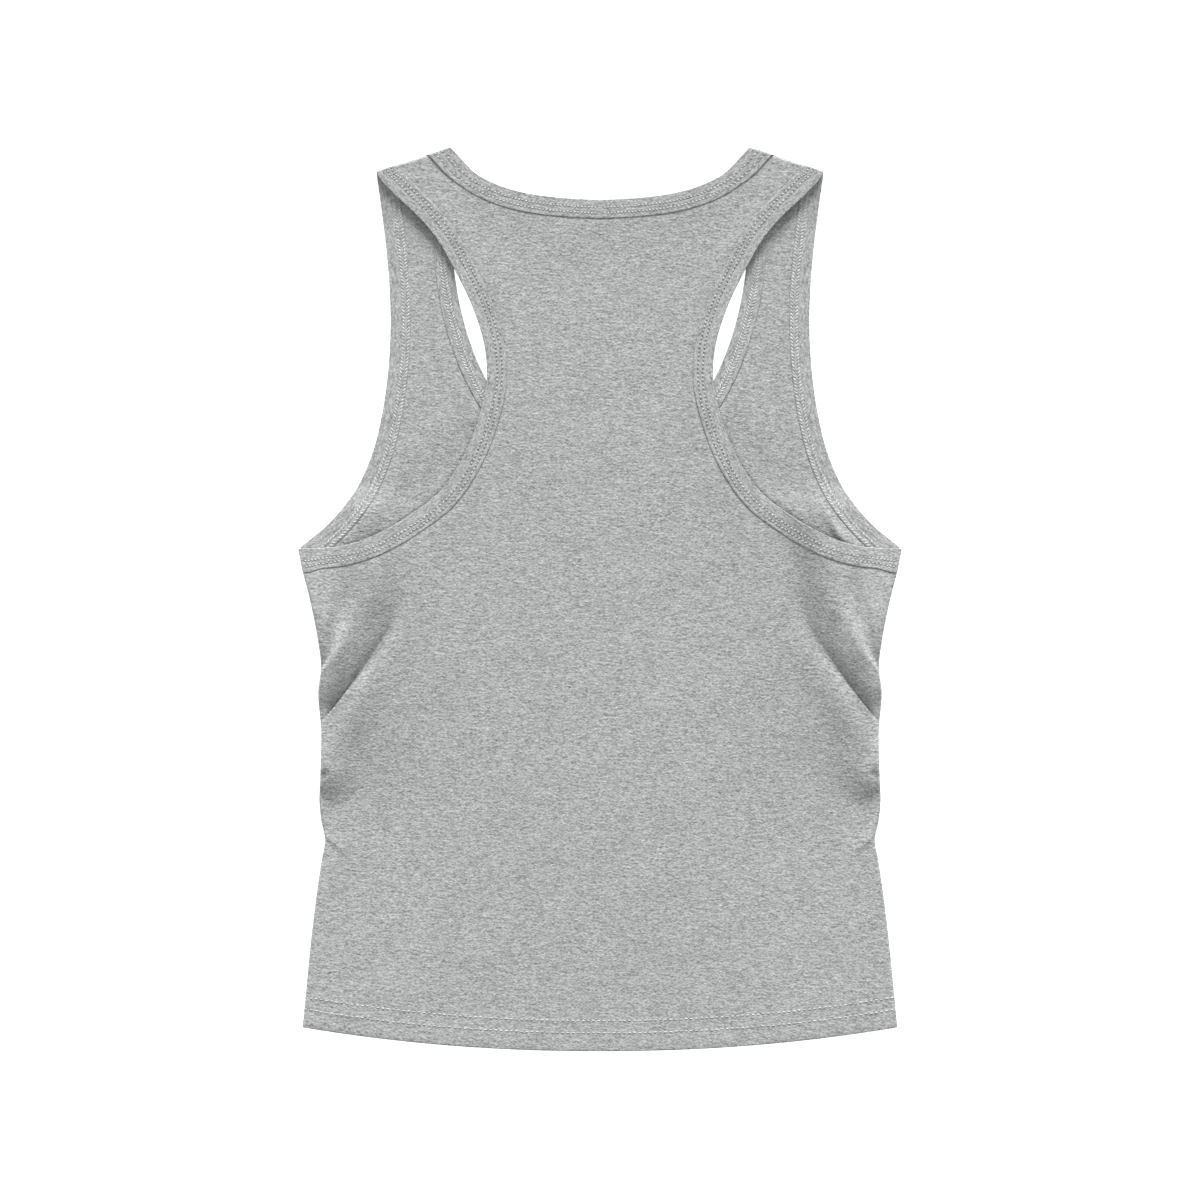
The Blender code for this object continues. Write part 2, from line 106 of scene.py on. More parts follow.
# %% The outline
NECK_POINT = (89.0, 263.85)
SHOULDER_POINT = (130.0, 250.4)
UNDERARM = (176.0, 30.0)
BACK_NECK = (NECK_POINT, (79.0, 254.4), (70.5, 247.6), (61.0, 242.8), (44.0, 237.6), (26.0, 235.0),
             (0.0, 233.4))
BACK_ARMHOLE = (SHOULDER_POINT, (128.2, 244.6), (120.8, 237.2), (110.8, 228.2), (98.2, 214.7),
                (84.2, 191.5), (73.2, 168.0), (67.0, 146.0), (66.2, 127.0), (71.0, 105.5), (82.5, 78.5),
                (94.0, 62.8), (111.0, 49.6), (129.5, 38.6), (145.0, 32.8), (160.0, 30.4), UNDERARM)
FRONT_ARMHOLE = (SHOULDER_POINT, (128.2, 233.0), (125.3, 210.0), (123.1, 186.0), (122.3, 160.0),
                 (123.5, 136.0), (126.8, 111.0), (132.4, 87.4), (142.6, 64.3), (157.6, 45.4), UNDERARM)
FRONT_NECK_HALF, FRONT_NECK_CENTRE_Y, FRONT_NECK_DROP = 86.3, 215.8, 136.5
SIDE_SEAM = (UNDERARM, (173.6, 18.0), (169.2, 0.0), (164.6, -23.0), (162.8, -40.0), (164.4, -53.0),
             (162.8, -76.0), (163.4, -105.0), (163.9, -117.0), (162.7, -129.0), (160.5, -140.0),
             (162.4, -151.0), (167.4, -187.0), (172.1, -233.0), (173.7, -249.5))
HEM_CORNER = SIDE_SEAM[-1]
HEM_LOW_Y = -263.5
HEM_CURVE_POWER = 2.1

neck_angle = np.radians(np.linspace(0.0, -90.0, 10))
front_neck = np.column_stack([FRONT_NECK_HALF * np.cos(neck_angle),
                              FRONT_NECK_CENTRE_Y + FRONT_NECK_DROP * np.sin(neck_angle)])
EDGES = {
    "back_neck": curve_through(BACK_NECK),
    "back_armhole": curve_through(BACK_ARMHOLE),
    "front_neck": curve_through(np.vstack([NECK_POINT, front_neck])),
    "front_armhole": curve_through(FRONT_ARMHOLE),
    "side": curve_through(SIDE_SEAM),
}
for edge_name, edge_line in EDGES.items():
    print(f"{edge_name}: {run_of(edge_line)[-1]:.0f} mm")

# %% [markdown]
# ## Measuring from the edges
#
# Every height on the garment depends on how far a place is from an edge: from a side seam, from the hem, from
# the fold at the shoulder, or from a bound edge. Both halves are measured on the right one, by taking the
# distance from the centre line without its sign.

# %% Distances from the edges
ALONG_SHOULDER = unit(np.subtract(SHOULDER_POINT, NECK_POINT))
OUT_OF_SHOULDER = np.array([-ALONG_SHOULDER[1], ALONG_SHOULDER[0]])
THINNED = 12        # a distance from a long edge needs only every twelfth of its points


def side_half_width(y):
    """Half the garment's width at a height, below the underarms."""
    side = EDGES["side"][::-1]
    return np.interp(y, side[:, 1], side[:, 0])


def hem_y(x):
    """Height of the hem's edge: it drops to its middle as a power of the distance from the corners."""
    share = np.abs(x) / HEM_CORNER[0]
    return HEM_LOW_Y + (HEM_CORNER[1] - HEM_LOW_Y) * share**HEM_CURVE_POWER


def inside_shoulder(x, y):
    """Distance of a point inside the shoulder's fold."""
    return (NECK_POINT[0] - np.abs(x)) * OUT_OF_SHOULDER[0] + (NECK_POINT[1] - y) * OUT_OF_SHOULDER[1]


def distance_to(line, x, y):
    """Distance from points on either half to the nearest stretch of a line."""
    p = np.stack([np.abs(x), y], axis=-1)[..., None, :]
    step = np.diff(line, axis=0)
    t = np.clip(((p - line[:-1]) * step).sum(-1) / (step**2).sum(-1), 0.0, 1.0)[..., None]
    return np.linalg.norm(p - line[:-1] - t * step, axis=-1).min(-1)


def from_front_edges(x, y):
    """Distance from points to the nearest bound edge of the front."""
    return np.minimum(distance_to(EDGES["front_neck"][::THINNED], x, y),
                      distance_to(EDGES["front_armhole"][::THINNED], x, y))


print(f"half width at the underarm {UNDERARM[0]:.0f} mm, at the gathers {side_half_width(-40.0):.1f} mm")

# %% [markdown]
# ## How the layers stack
#
# A bound edge is five layers thick: the strip's two leaves, each turned under, and the panel between them.
# The front lies face down on the table, with its bindings touching it, and the back lies on the front. So
# the back has to climb over the bindings towards the neck, and at the shoulders the cloth rolls over from
# the back into the front round a radius of half the stack.

# %% Heights of the two layers
WALL = 0.9                      # one layer of jersey
HEM_WALL = 1.05                 # two pressed layers, where the hem is turned up
HEM_DEPTH, HEM_STEP = 18.0, 0.8         # height of the turned-up hem, and of the step at its raw edge
SEAM_GAP = 0.3                  # between pieces that are sewn together
BOUND_STEP = 1.3                # a binding's leaf stands this far outside its panel
PANEL_ROOM = 1.0                # room for the panel between a binding's leaves
BINDING_STACK = PANEL_ROOM + 2 * BOUND_STEP
STACK_HEIGHT = 2 * BINDING_STACK + SEAM_GAP
FOLD_RADIUS = STACK_HEIGHT / 2
BACK_FLAT_FACE = 2 * PANEL_ROOM + SEAM_GAP      # top of the back where it lies on the plain front
BACK_RISE = STACK_HEIGHT - BOUND_STEP - BACK_FLAT_FACE      # and how much higher it is at the bindings
BINDING_RAMP_IN = (15.0, 27.0)  # the front comes down off its bindings between these distances
SHOULDER_RAMP_IN = (6.0, 20.0)  # and off the shoulder's fold between these


def bound(x, y):
    """1 where the front lies in or beside a binding, falling to 0 over the plain cloth."""
    by_edge = 1.0 - smooth(*BINDING_RAMP_IN, from_front_edges(x, y))
    by_shoulder = 1.0 - smooth(*SHOULDER_RAMP_IN, inside_shoulder(x, y))
    return 1.0 - (1.0 - by_edge) * (1.0 - by_shoulder)


print(f"two bindings lie {STACK_HEIGHT:.1f} mm high, and the shoulder folds round {FOLD_RADIUS:.2f} mm")

# %% [markdown]
# ## Stations along a bound edge
#
# A binding is swept along its edge. Each station has a point on the edge, the direction across the strip
# into the cloth, and the strip's width. At the shoulder the direction lies along the fold, so that the
# strip rolls over it, and at the underarm it runs down the side seam.

# %% Stations
# Widths square to the edge, along the shoulder's fold, and down the side seam.
NECK_WIDTH, NECK_FOLD_WIDTH = 11.0, 14.0
ARMHOLE_WIDTH, ARMHOLE_FOLD_WIDTH, UNDERARM_WIDTH = 11.7, 11.4, 14.4
TURN_LENGTH = 16.0                  # a strip turns to its end's direction over this length
RAW_EDGE, RAW_SPACING = 1.9, 1.5    # how far in the panel's cut edge lies, and the step along it
WIDTHS = {"neck": (NECK_WIDTH, NECK_FOLD_WIDTH, None),
          "armhole": (ARMHOLE_WIDTH, ARMHOLE_FOLD_WIDTH, UNDERARM_WIDTH)}


def stations(edge, spacing):
    """Points on a bound edge, directions into the cloth, widths, and distances from the shoulder.

    A direction is the mean of two, one square to the edge and one along the fold or the seam, weighted by an
    S-curve of the distance from the strip's end.
    """
    kind = edge.split("_")[1]
    width, fold_width, end_width = WIDTHS[kind]
    cloth_side = 1.0 if kind == "neck" else -1.0
    line = EDGES[edge]
    run = run_of(line)
    runs = np.linspace(0.0, run[-1], int(run[-1] / spacing) + 1)
    tangent = np.stack([np.interp(runs, run, np.gradient(line[:, i], run)) for i in (0, 1)], axis=-1)
    square = cloth_side * unit(np.stack([-tangent[:, 1], tangent[:, 0]], axis=-1))
    points = at_runs(line, runs)
    blend = smooth(FOLD_RADIUS, FOLD_RADIUS + TURN_LENGTH, inside_shoulder(points[:, 0], points[:, 1]))
    across = unit((1 - blend[:, None]) * cloth_side * ALONG_SHOULDER + blend[:, None] * square)
    widths = fold_width + (width - fold_width) * blend
    if end_width:
        down_side = unit(np.subtract(SIDE_SEAM[1], SIDE_SEAM[0]))
        ending = smooth(run[-1] - TURN_LENGTH, run[-1], runs)
        across = unit((1 - ending[:, None]) * across + ending[:, None] * down_side)
        widths = widths + (end_width - widths) * ending
    return points, across, widths, runs


def raw_edge(edge):
    """The panel's own cut edge, which ends inside the binding, from the shoulder down."""
    points, across, _, _ = stations(edge, RAW_SPACING)
    line = points + RAW_EDGE * across
    line[-1, 0] = 0.0 if edge.endswith("neck") else line[-1, 0]
    return line


for kind, (usual, fold_width, end_width) in WIDTHS.items():
    print(f"{kind} strip: {usual} mm wide, {fold_width} mm along the shoulder's fold")

# %% [markdown]
# ## The thick seam
#
# Where a panel comes out from under its binding, it is pressed up until it is nearly level with the strip's
# leaf. So the seam shows as a thin line and not as a step. The panel climbs under the leaf, whose lower side
# is cut slantwise to make room, dips in the groove that the needle thread pulls, and sinks back slowly over
# the plain cloth.

# %% The swell beside a binding
SEAM_STEP = {"neck": 0.32, "armhole": 0.25}     # from the leaf's face down to the panel beside it
RIGHT_ARMHOLE_STEP = 0.18                       # the right armhole's step is larger by this
SEAM_GROOVE = {"back": 0.3, "front": 0.12}      # depth of the groove along the seam
GROOVE_REACH = 0.8
SWELL_UNDER = (-3.4, -0.15)                     # the panel climbs under the leaf between these places
SWELL_REACH = {"back": 20.0, "front": 12.0}     # and sinks back over about this distance
SWELL_NEAR = 90.0                               # farther out there is nothing left to work out
SEAM_SPACING = 2.0
BOUND_EDGES = ("back_neck", "back_armhole", "front_neck", "front_armhole")
SEAMS = {edge: stations(edge, SEAM_SPACING) for edge in BOUND_EDGES}


def beyond_seam(edge, x, y):
    """Distance of points beyond a binding's seam line, measured square to it: negative inside the strip."""
    points, across, widths, _ = SEAMS[edge]
    p = np.stack([np.abs(x), y], axis=-1)
    near = ((p[..., None, :] - points)**2).sum(-1).argmin(-1)
    return ((p - points[near]) * across[near]).sum(-1) - widths[near]


def seam_swell(layer, x, y):
    """The panel's lift near its bindings: an S-curve under the leaf times exp(-distance / reach) beyond it,
    less a narrow bell for the groove.
    """
    x, y = np.broadcast_arrays(np.asarray(x, float), np.asarray(y, float))
    total = np.zeros(x.shape)
    room = BOUND_STEP if layer == "back" else BOUND_STEP + PANEL_ROOM - WALL
    for kind in ("neck", "armhole"):
        edge = f"{layer}_{kind}"
        close = distance_to(EDGES[edge][::2 * THINNED], x, y) < SWELL_NEAR
        beyond = beyond_seam(edge, x[close], y[close])
        step = SEAM_STEP[kind]
        if kind == "armhole":
            step = step + RIGHT_ARMHOLE_STEP * (x[close] > 0.0)
        fall = np.exp(-np.maximum(beyond, 0.0) / SWELL_REACH[layer])
        lift = (room - step) * smooth(*SWELL_UNDER, beyond) * fall
        groove = SEAM_GROOVE[layer] * np.exp(-(beyond / GROOVE_REACH)**2)
        total[close] = np.maximum(total[close], lift - groove)
    return total


for beyond_neck in (1.0, 10.0, 40.0):
    lifted = seam_swell("back", 0.0, BACK_NECK[-1][1] - NECK_WIDTH - beyond_neck)
    print(f"{beyond_neck:.0f} mm beyond the back's neck seam the panel is lifted {float(lifted):.2f} mm")

# %% [markdown]
# ## The gathered sides
#
# Elastic or a drawn thread pulls each side seam shorter, so the cloth beside it puffs up and folds over
# itself like shingles. A cloth simulation gives folds, but not these folds in these places. So the cloth
# beside the seams is built like a small landscape. One long crease runs from each seam up towards the
# armhole. Above it the cloth comes down a ramp, and below it a puff laps over the ramp's foot. A size that
# changes on the way is a short table of two columns, joined by the same smooth curve as the outline.

# %% The long crease, and how places are measured from it
LONG_CREASE = ((184.0, -101.0), (166.0, -76.5), (158.6, -66.6), (154.0, -60.6), (146.8, -50.8),
               (138.5, -38.9), (128.7, -24.9), (120.6, -11.2), (116.6, 2.0), (115.0, 13.0), (111.5, 30.0),
               (107.0, 48.0), (101.0, 72.0), (96.0, 95.0))
# The left crease is the right one's mirror image up to its eighth point, and then runs straight up.
LEFT_FROM = 8
LEFT_TOP = ((116.6, 2.0), (116.0, 13.0), (116.0, 30.0), (116.0, 60.0), (116.0, 95.0))
LINE_STEP = 2.0
CREASE_LINES = {1: curve_through(LONG_CREASE, LINE_STEP),
                -1: curve_through(LONG_CREASE[:LEFT_FROM] + LEFT_TOP, LINE_STEP)}


def from_table(rows, value):
    """A table's second column at each value of its first, read from the smooth curve through its rows."""
    line = curve_through(rows)
    return np.interp(value, line[:, 0], line[:, 1])


def beside(line, x, y):
    """For each point: the signed distance from a line, positive above it, its share along, and the offset."""
    p = np.stack([np.abs(x), y], axis=-1)[..., None, :]
    step = np.diff(line, axis=0)
    t = np.clip(((p - line[:-1]) * step).sum(-1) / (step**2).sum(-1), 0.0, 1.0)
    off = p - line[:-1] - t[..., None] * step
    apart = (off**2).sum(-1)
    near = apart.argmin(-1)
    pick = tuple(np.indices(near.shape)) + (near,)
    off = off[pick]
    cross = step[near, 0] * off[..., 1] - step[near, 1] * off[..., 0]
    run = run_of(line)
    along = (run[near] + t[pick] * np.diff(run)[near]) / run[-1]
    return -np.sqrt(apart[pick]) * np.sign(cross), along, off


print("long creases:", [f"{run_of(line)[-1]:.0f} mm" for line in CREASE_LINES.values()])

# %% [markdown]
# ## The ramp above the crease
#
# The ramp is a straight slope with a rounded foot and a rounded top. Over its lower part a steeper strip at
# the foot makes the crease look sharp. It grows gentler towards the armhole, so its tables are keyed by the
# height above the garment's middle. The curve log(1 + exp(t)) rounds a corner without a join: it is nearly
# 0 before the corner and nearly a straight line after it.

# %% The ramp
# Columns: height above the garment's middle, and the ramp's steepness, its height, how round its top is
# and how round its foot is.
RAMP_SLOPE = ((-80.0, 0.44), (-45.0, 0.46), (-29.0, 0.49), (-14.0, 0.50), (-1.0, 0.47), (10.0, 0.45),
              (32.0, 0.43), (95.0, 0.40))
RAMP_CLIMB = ((-80.0, 7.6), (-45.0, 7.9), (-29.0, 8.6), (-14.0, 9.2), (-1.0, 9.0), (10.0, 8.6), (32.0, 7.6),
              (95.0, 6.8))
RAMP_CORNER = ((-80.0, 1.0), (-45.0, 1.0), (-29.0, 1.1), (-14.0, 1.3), (0.0, 1.6), (20.0, 2.4), (95.0, 3.5))
RAMP_ROUND = ((-80.0, 0.15), (-45.0, 0.15), (-32.0, 0.5), (-20.0, 1.4), (-6.0, 2.2), (10.0, 3.0), (95.0, 3.4))
RAMP_FOOT, RAMP_FOOT_IN = 6.5, 5.5                  # at the seam the foot lies farther up, over this distance
STEEP_HEIGHT, STEEP_WIDTH = 4.3, 2.6                # the steeper strip
STEEP_Y, STEEP_IN = (-54.0, -8.0), 10.0             # it fades upwards, and grows inward from the seam
RAMP_TOP_Y, RAMP_TOP_IN = (-36.0, 40.0), 46.0       # nearer the seam than this the ramp fades upwards


def bend(value, roundness):
    """0 below 0 and the value above it, with a round corner: roundness · log(1 + exp(value / roundness))."""
    return roundness * np.logaddexp(0.0, value / roundness)


def ramp(across, y, inward):
    """Height on the ramp: slope · (bend at the foot - bend at the top) + the strip's 1 - exp(-distance)."""
    slope, top = from_table(RAMP_SLOPE, y), from_table(RAMP_CLIMB, y)
    corner, foot = from_table(RAMP_CORNER, y), from_table(RAMP_ROUND, y)
    start = RAMP_FOOT * np.exp(-(np.maximum(inward, 0.0) / RAMP_FOOT_IN)**2)
    height = slope * (bend(across - start, foot) - bend(across - top / slope, corner))
    strip = 1.0 - np.exp(-np.maximum(across, 0.0) / STEEP_WIDTH)
    steep = STEEP_HEIGHT * (1.0 - smooth(*STEEP_Y, y)) * strip
    towards_seam = 1.0 - smooth(0.0, RAMP_TOP_IN, inward)
    return (height + steep * smooth(0.0, STEEP_IN, inward)) * (1.0 - towards_seam * smooth(*RAMP_TOP_Y, y))


print("ramp 5, 15 and 25 mm above the crease:",
      np.round(ramp(np.array([5.0, 15.0, 25.0]), np.full(3, -20.0), np.full(3, 40.0)), 1), "mm high")

# %% [markdown]
# ## The puff below the crease
#
# The puff springs up at the crease like a lip, rises a little more, and falls away in two steps. Near the
# seam the lip is sharp, and towards the garment's middle it melts into the plain cloth, so its tables are
# keyed by the distance from the centre line. The gathering thread pinches the puff's end down at the seam,
# and below the pinch the seam's edge rises again slowly.

# %% The puff
# Columns: distance from the centre line, and the height of the crease's floor, the height of the puff's
# top, how far it takes the lip to spring up, and the first fall's depth.
CREASE_LEVEL = ((100.0, 0.0), (112.0, 0.0), (118.0, 0.3), (123.0, 1.2), (128.0, 2.0), (133.0, 2.0),
                (139.0, 1.5), (147.0, 0.4), (155.0, 0.0), (170.0, 0.0))
PUFF_LEVEL = ((100.0, 0.0), (112.0, 0.7), (118.0, 1.7), (123.0, 2.6), (128.0, 3.4), (133.0, 4.2),
              (139.0, 5.2), (147.0, 4.8), (155.0, 4.4), (160.0, 4.6), (164.0, 4.8), (170.0, 4.8))
LIP_EDGE = ((100.0, 6.0), (121.0, 7.0), (128.0, 6.4), (134.0, 4.4), (141.0, 1.8), (148.0, 0.6), (170.0, 0.45))
FIRST_FALL = ((100.0, 0.0), (112.0, 0.3), (118.0, 0.8), (128.0, 1.6), (133.0, 2.4), (139.0, 3.0),
              (147.0, 2.2), (155.0, 0.6), (170.0, 0.2))
LIP_RISE, LIP_WIDTH = 1.1, 6.2                      # the last of the rise, and over how far
FIRST_FALL_BELOW = (9.0, 30.0)                      # the first fall lies this far below the crease
# Columns: distance from the centre line, and the height of the last fall's middle and half its length.
LAST_FALL_Y = ((100.0, -74.0), (118.0, -78.0), (128.0, -87.0), (139.0, -98.0), (147.0, -108.0),
               (152.0, -110.5), (170.0, -110.5))
LAST_FALL_HALF = ((100.0, 22.0), (118.0, 22.0), (128.0, 26.0), (139.0, 18.0), (147.0, 12.0), (152.0, 10.5),
                  (170.0, 10.0))
PINCH_Y, PINCH_FALL, PINCH_WIDTH = -69.0, 29.0, 4.4
STEP_SHARE, STEP_Y, STEP_IN = 0.36, (-102.5, -98.5), (2.0, 6.5)     # a notch in the seam's edge


def drawn_in(inward):
    """The gathering thread's hold, which is 1 at the seam: exp(-(distance / width)^1.5)."""
    return np.exp(-(np.maximum(inward, 0.0) / PINCH_WIDTH)**1.5)


def below_crease(below, x, y, inward):
    """Height of the puff over the crease's floor: two rises of the form 1 - exp(-(distance / width)²), less
    the first fall, times the last fall's S-curve, and drawn in by the pinch and the notch at the seam.
    """
    crease, top = from_table(CREASE_LEVEL, x), from_table(PUFF_LEVEL, x)
    rise = np.minimum(LIP_RISE, top - crease)
    height = (top - crease - rise) * (1.0 - np.exp(-(below / from_table(LIP_EDGE, x))**2))
    height = height + rise * (1.0 - np.exp(-(below / LIP_WIDTH)**2))
    height = height - from_table(FIRST_FALL, x) * smooth(*FIRST_FALL_BELOW, below)
    middle, half = from_table(LAST_FALL_Y, x), from_table(LAST_FALL_HALF, x)
    height = (height + crease) * smooth(middle - half, middle + half, y)
    pinch = np.clip(1.0 - (PINCH_Y - y) / PINCH_FALL, 0.0, 1.0)
    height = height * (1.0 - drawn_in(inward) * pinch)
    notch = STEP_SHARE * (1.0 - smooth(*STEP_IN, inward)) * (1.0 - smooth(*STEP_Y, y))
    return height * (1.0 - notch) - crease


lip = below_crease(np.array([1.0, 3.0, 9.0]), np.full(3, 141.0), np.full(3, -55.0), np.full(3, 22.0))
print("the lip 1, 3 and 9 mm below the crease:", np.round(lip, 1), "mm high")

# %% [markdown]
# ## Swells and the low pinch
#
# Above the ramp's upper end the cloth swells a little towards the armhole, more quickly on the left than on
# the right. Lower down, the thread pinches the seam a second time.

# %% The swells and the low pinch
# By side: the path that a swell follows, and its height, where it starts and where it is full.
SWELL_PATHS = {
    1: ((133.0, -16.0), (129.0, -2.0), (126.0, 12.0), (123.0, 30.0), (119.0, 52.0), (115.0, 75.0)),
    -1: ((133.0, -16.0), (129.0, -2.0), (127.0, 12.0), (129.0, 30.0), (131.0, 52.0), (133.0, 75.0)),
}
SWELLS = {-1: (1.5, -12.0, 16.0), 1: (1.7, -12.0, 40.0)}
SWELL_HALF = 12.0
SWELL_LINES = {side: curve_through(path, LINE_STEP) for side, path in SWELL_PATHS.items()}
LOW_PINCH_Y, LOW_PINCH_DEPTH = -118.0, 2.4
LOW_PINCH_RISE, LOW_PINCH_FALL = 12.0, 26.0         # it eases off over these lengths above and below


def swell(x, y):
    """A low hill along each side's path, which climbs towards the armhole: height · exp(-(distance / half)²).
    """
    total = 0.0
    for side, (high, start, full) in SWELLS.items():
        across, _, _ = beside(SWELL_LINES[side], x, y)
        along = np.where(np.sign(x) == side, high * smooth(start, full, y), 0.0)
        total = total + along * np.exp(-(across / SWELL_HALF)**2)
    return total


def pinched(y, inward):
    """How far the seam's edge is drawn down at the low pinch, easing off along the seam and inward."""
    along = np.clip(1.0 - (LOW_PINCH_Y - y) / LOW_PINCH_FALL, 0.0, 1.0)
    along = along * (1.0 - smooth(0.0, LOW_PINCH_RISE, y - LOW_PINCH_Y))
    return LOW_PINCH_DEPTH * along * drawn_in(inward)


print(f"the low pinch is {float(pinched(LOW_PINCH_Y, 0.0)):.1f} mm deep at the seam")

# %% [markdown]
# ## The smaller folds
#
# Each smaller fold is a row of a table too: a path from the seam inward, and how far the cloth rises or
# sinks along it. Above its path a fold ends slowly, like exp(-(distance / slow)^1.3), and below it quickly,
# like a narrow bell.

# %% The smaller folds
GENTLE_POWER = 1.3


def fold(path, left, right, gentle, sharp, full_from=0.0, fade_from=0.3):
    """One row of the table.

    path: points from the seam inward. left, right: the fold's height on each side of the garment.
    gentle, sharp: widths above and below the path, each at the seam and at the path's end.
    full_from, fade_from: shares of the path from which the fold is full, and from which it fades.
    """
    return dict(line=curve_through(path, LINE_STEP), left=left, right=right, gentle=gentle, sharp=sharp,
                full_from=full_from, fade_from=fade_from)


FOLDS = {
    "upper crease": fold(((163.6, -42.0), (160.4, -35.5), (157.0, -28.5), (154.4, -20.0), (152.4, -11.0),
                          (150.6, -2.0), (149.2, 8.0), (148.2, 18.0), (147.6, 28.0)),
                         -2.6, -2.6, (4.0, 5.0), (0.5, 8.5), fade_from=0.38),
    "outer furrow": fold(((161.4, -42.0), (158.4, -28.0), (156.6, -15.0), (155.7, -2.0), (155.4, 14.0)),
                         -3.1, -3.1, (2.8, 2.6), (1.8, 2.4), full_from=0.4, fade_from=0.22),
    "lowest ridge": fold(((164.5, -134.0), (157.0, -140.2), (152.4, -144.1), (147.5, -149.5),
                          (141.0, -160.0)),
                         1.0, 1.0, (7.0, 8.0), (0.6, 3.5), fade_from=0.22),
}


def fold_height(x, y, row):
    """One fold's height: its amount times the profile across it and a fade along it."""
    across, along, _ = beside(row["line"], x, y)
    gentle, sharp = (first + (last - first) * along for first, last in (row["gentle"], row["sharp"]))
    amount = np.where(x < 0, row["left"], row["right"])
    amount = amount * (1.0 - smooth(row["fade_from"], 1.0, along))
    if row["full_from"] > 0.0:
        amount = amount * smooth(0.0, row["full_from"], along)
    above = np.exp(-np.abs(across / gentle)**GENTLE_POWER)
    return amount * np.where(across > 0.0, above, np.exp(-(across / sharp)**2))


for fold_name, row in FOLDS.items():
    print(f"{fold_name}: {run_of(row['line'])[-1]:.0f} mm long")

# %% [markdown]
# ## The back's rise
#
# The back lies flat on the front at the hem and over the thick bindings at the neck, so it rises on the way.
# Beside the seams it rises in one S-curve, and between the gathered sides it does so more evenly.

# %% The back's rise towards the neck
BACK_RISE_Y = (-150.0, 12.0)    # it rises beside the seams between these heights
# Columns: height above the garment's middle, and the rise there over the middle of the back.
MIDDLE_RISE = ((-270.0, 0.0), (-240.0, 0.0), (-200.0, 0.8), (-165.0, 1.5), (-133.0, 1.95), (-60.0, 2.7),
               (12.0, 3.45), (70.0, 3.9), (270.0, 3.9))
MIDDLE_FADE = (55.0, 112.0)     # one rise goes over into the other at these distances from the centre line


def climb(y):
    """The rise beside the seams."""
    return BACK_RISE * smooth(*BACK_RISE_Y, y)


def back_rise(x, y):
    """The rise beside the seams and the rise over the middle, mixed by the distance from the centre line."""
    by_side = smooth(*MIDDLE_FADE, np.abs(x))
    return by_side * climb(y) + (1.0 - by_side) * from_table(MIDDLE_RISE, y)


for height in (-200.0, 0.0, 200.0):
    print(f"at {height:.0f} mm the back has risen {float(back_rise(0.0, height)):.1f} mm")

# %% [markdown]
# ## All the gathers together
#
# The ramp, the puff, the swells, the pinches and the folds are added up. Their sum can't sink through the
# front, so it is held up from below. A plain limit would leave a sharp line in the cloth, and its corner is
# rounded by a root: (a + root(a² + r)) / 2 is nearly 0 where a is negative, and nearly a where it is
# positive. Last, the thread holds a small pocket down at the seam.

# %% The gathers
REGION_IN, REGION_Y = 90.0, (-170.0, 70.0)      # the gathers' reach from the seam, and their ends
FADE_IN, FADE_Y = (67.5, 90.0), (50.0, 70.0)    # they fade out between these
LEVEL_FADE_Y = (45.0, 70.0)                     # and so does the crease's floor
ROOM_SHARE = 0.85                               # how much of the back's rise they may sink by
ROUNDING, ROUNDING_BACK = 0.3, 0.27             # the limit's corner, and what is taken off it again
POCKET_Y, POCKET_DEEP, POCKET_UP, POCKET_DOWN = -101.4, 5.4, 8.5, 5.0
POCKET_RIM, POCKET_SINK = (0.84, 1.08), 0.7


def in_region(inward, y, reach):
    """True for points that lie beside a side seam, closer to it than reach, between the gathers' ends."""
    return (inward < reach) & (y > REGION_Y[0]) & (y < REGION_Y[1])


def limited(total, room):
    """The larger of total and -room, with a rounded corner."""
    rounded = 0.5 * (total - room + np.sqrt((total + room)**2 + ROUNDING))
    return rounded - ROUNDING_BACK * np.exp(-(total + room)**2)


def pocket(y, inward):
    """1 in the pocket, a triangle with its base on the seam, falling to 0 outside its rim."""
    beside_middle = np.where(y > POCKET_Y, (y - POCKET_Y) / POCKET_UP, (POCKET_Y - y) / POCKET_DOWN)
    return 1.0 - smooth(*POCKET_RIM, inward / POCKET_DEEP + beside_middle)


def gathers(x, y):
    """Height of the gathers over the plain cloth."""
    x, y = np.broadcast_arrays(np.asarray(x, float), np.asarray(y, float))
    height = np.zeros(x.shape)
    inward = side_half_width(y) - np.abs(x)
    near = in_region(inward, y, REGION_IN)
    x, y, inward = x[near], y[near], inward[near]
    out = np.abs(x)
    across = np.where(x < 0, beside(CREASE_LINES[-1], x, y)[0], beside(CREASE_LINES[1], x, y)[0])
    puff = np.where(across > 0.0, 0.0, below_crease(np.maximum(-across, 0.0), out, y, inward))
    total = ramp(across, y, inward) + puff
    total = total + from_table(CREASE_LEVEL, out) * (1.0 - smooth(*LEVEL_FADE_Y, y))
    total = total - pinched(y, inward) + swell(x, y)
    for row in FOLDS.values():
        total = total + fold_height(x, y, row)
    total = limited(total, ROOM_SHARE * climb(y))
    fade = (1.0 - smooth(*FADE_IN, inward)) * (1.0 - smooth(*FADE_Y, y))
    height[near] = fade * (total - POCKET_SINK * pocket(y, inward))
    return height


print("heights along one line across the long crease:",
      np.round(gathers(np.linspace(110.0, 160.0, 6), -50.0), 1))

# %% [markdown]
# ## More points where the cloth folds
#
# A lip that rises within a millimetre needs points close together, and the plain cloth doesn't. So the
# points of the cut are drawn towards the sharp folds, each by a share of its way.

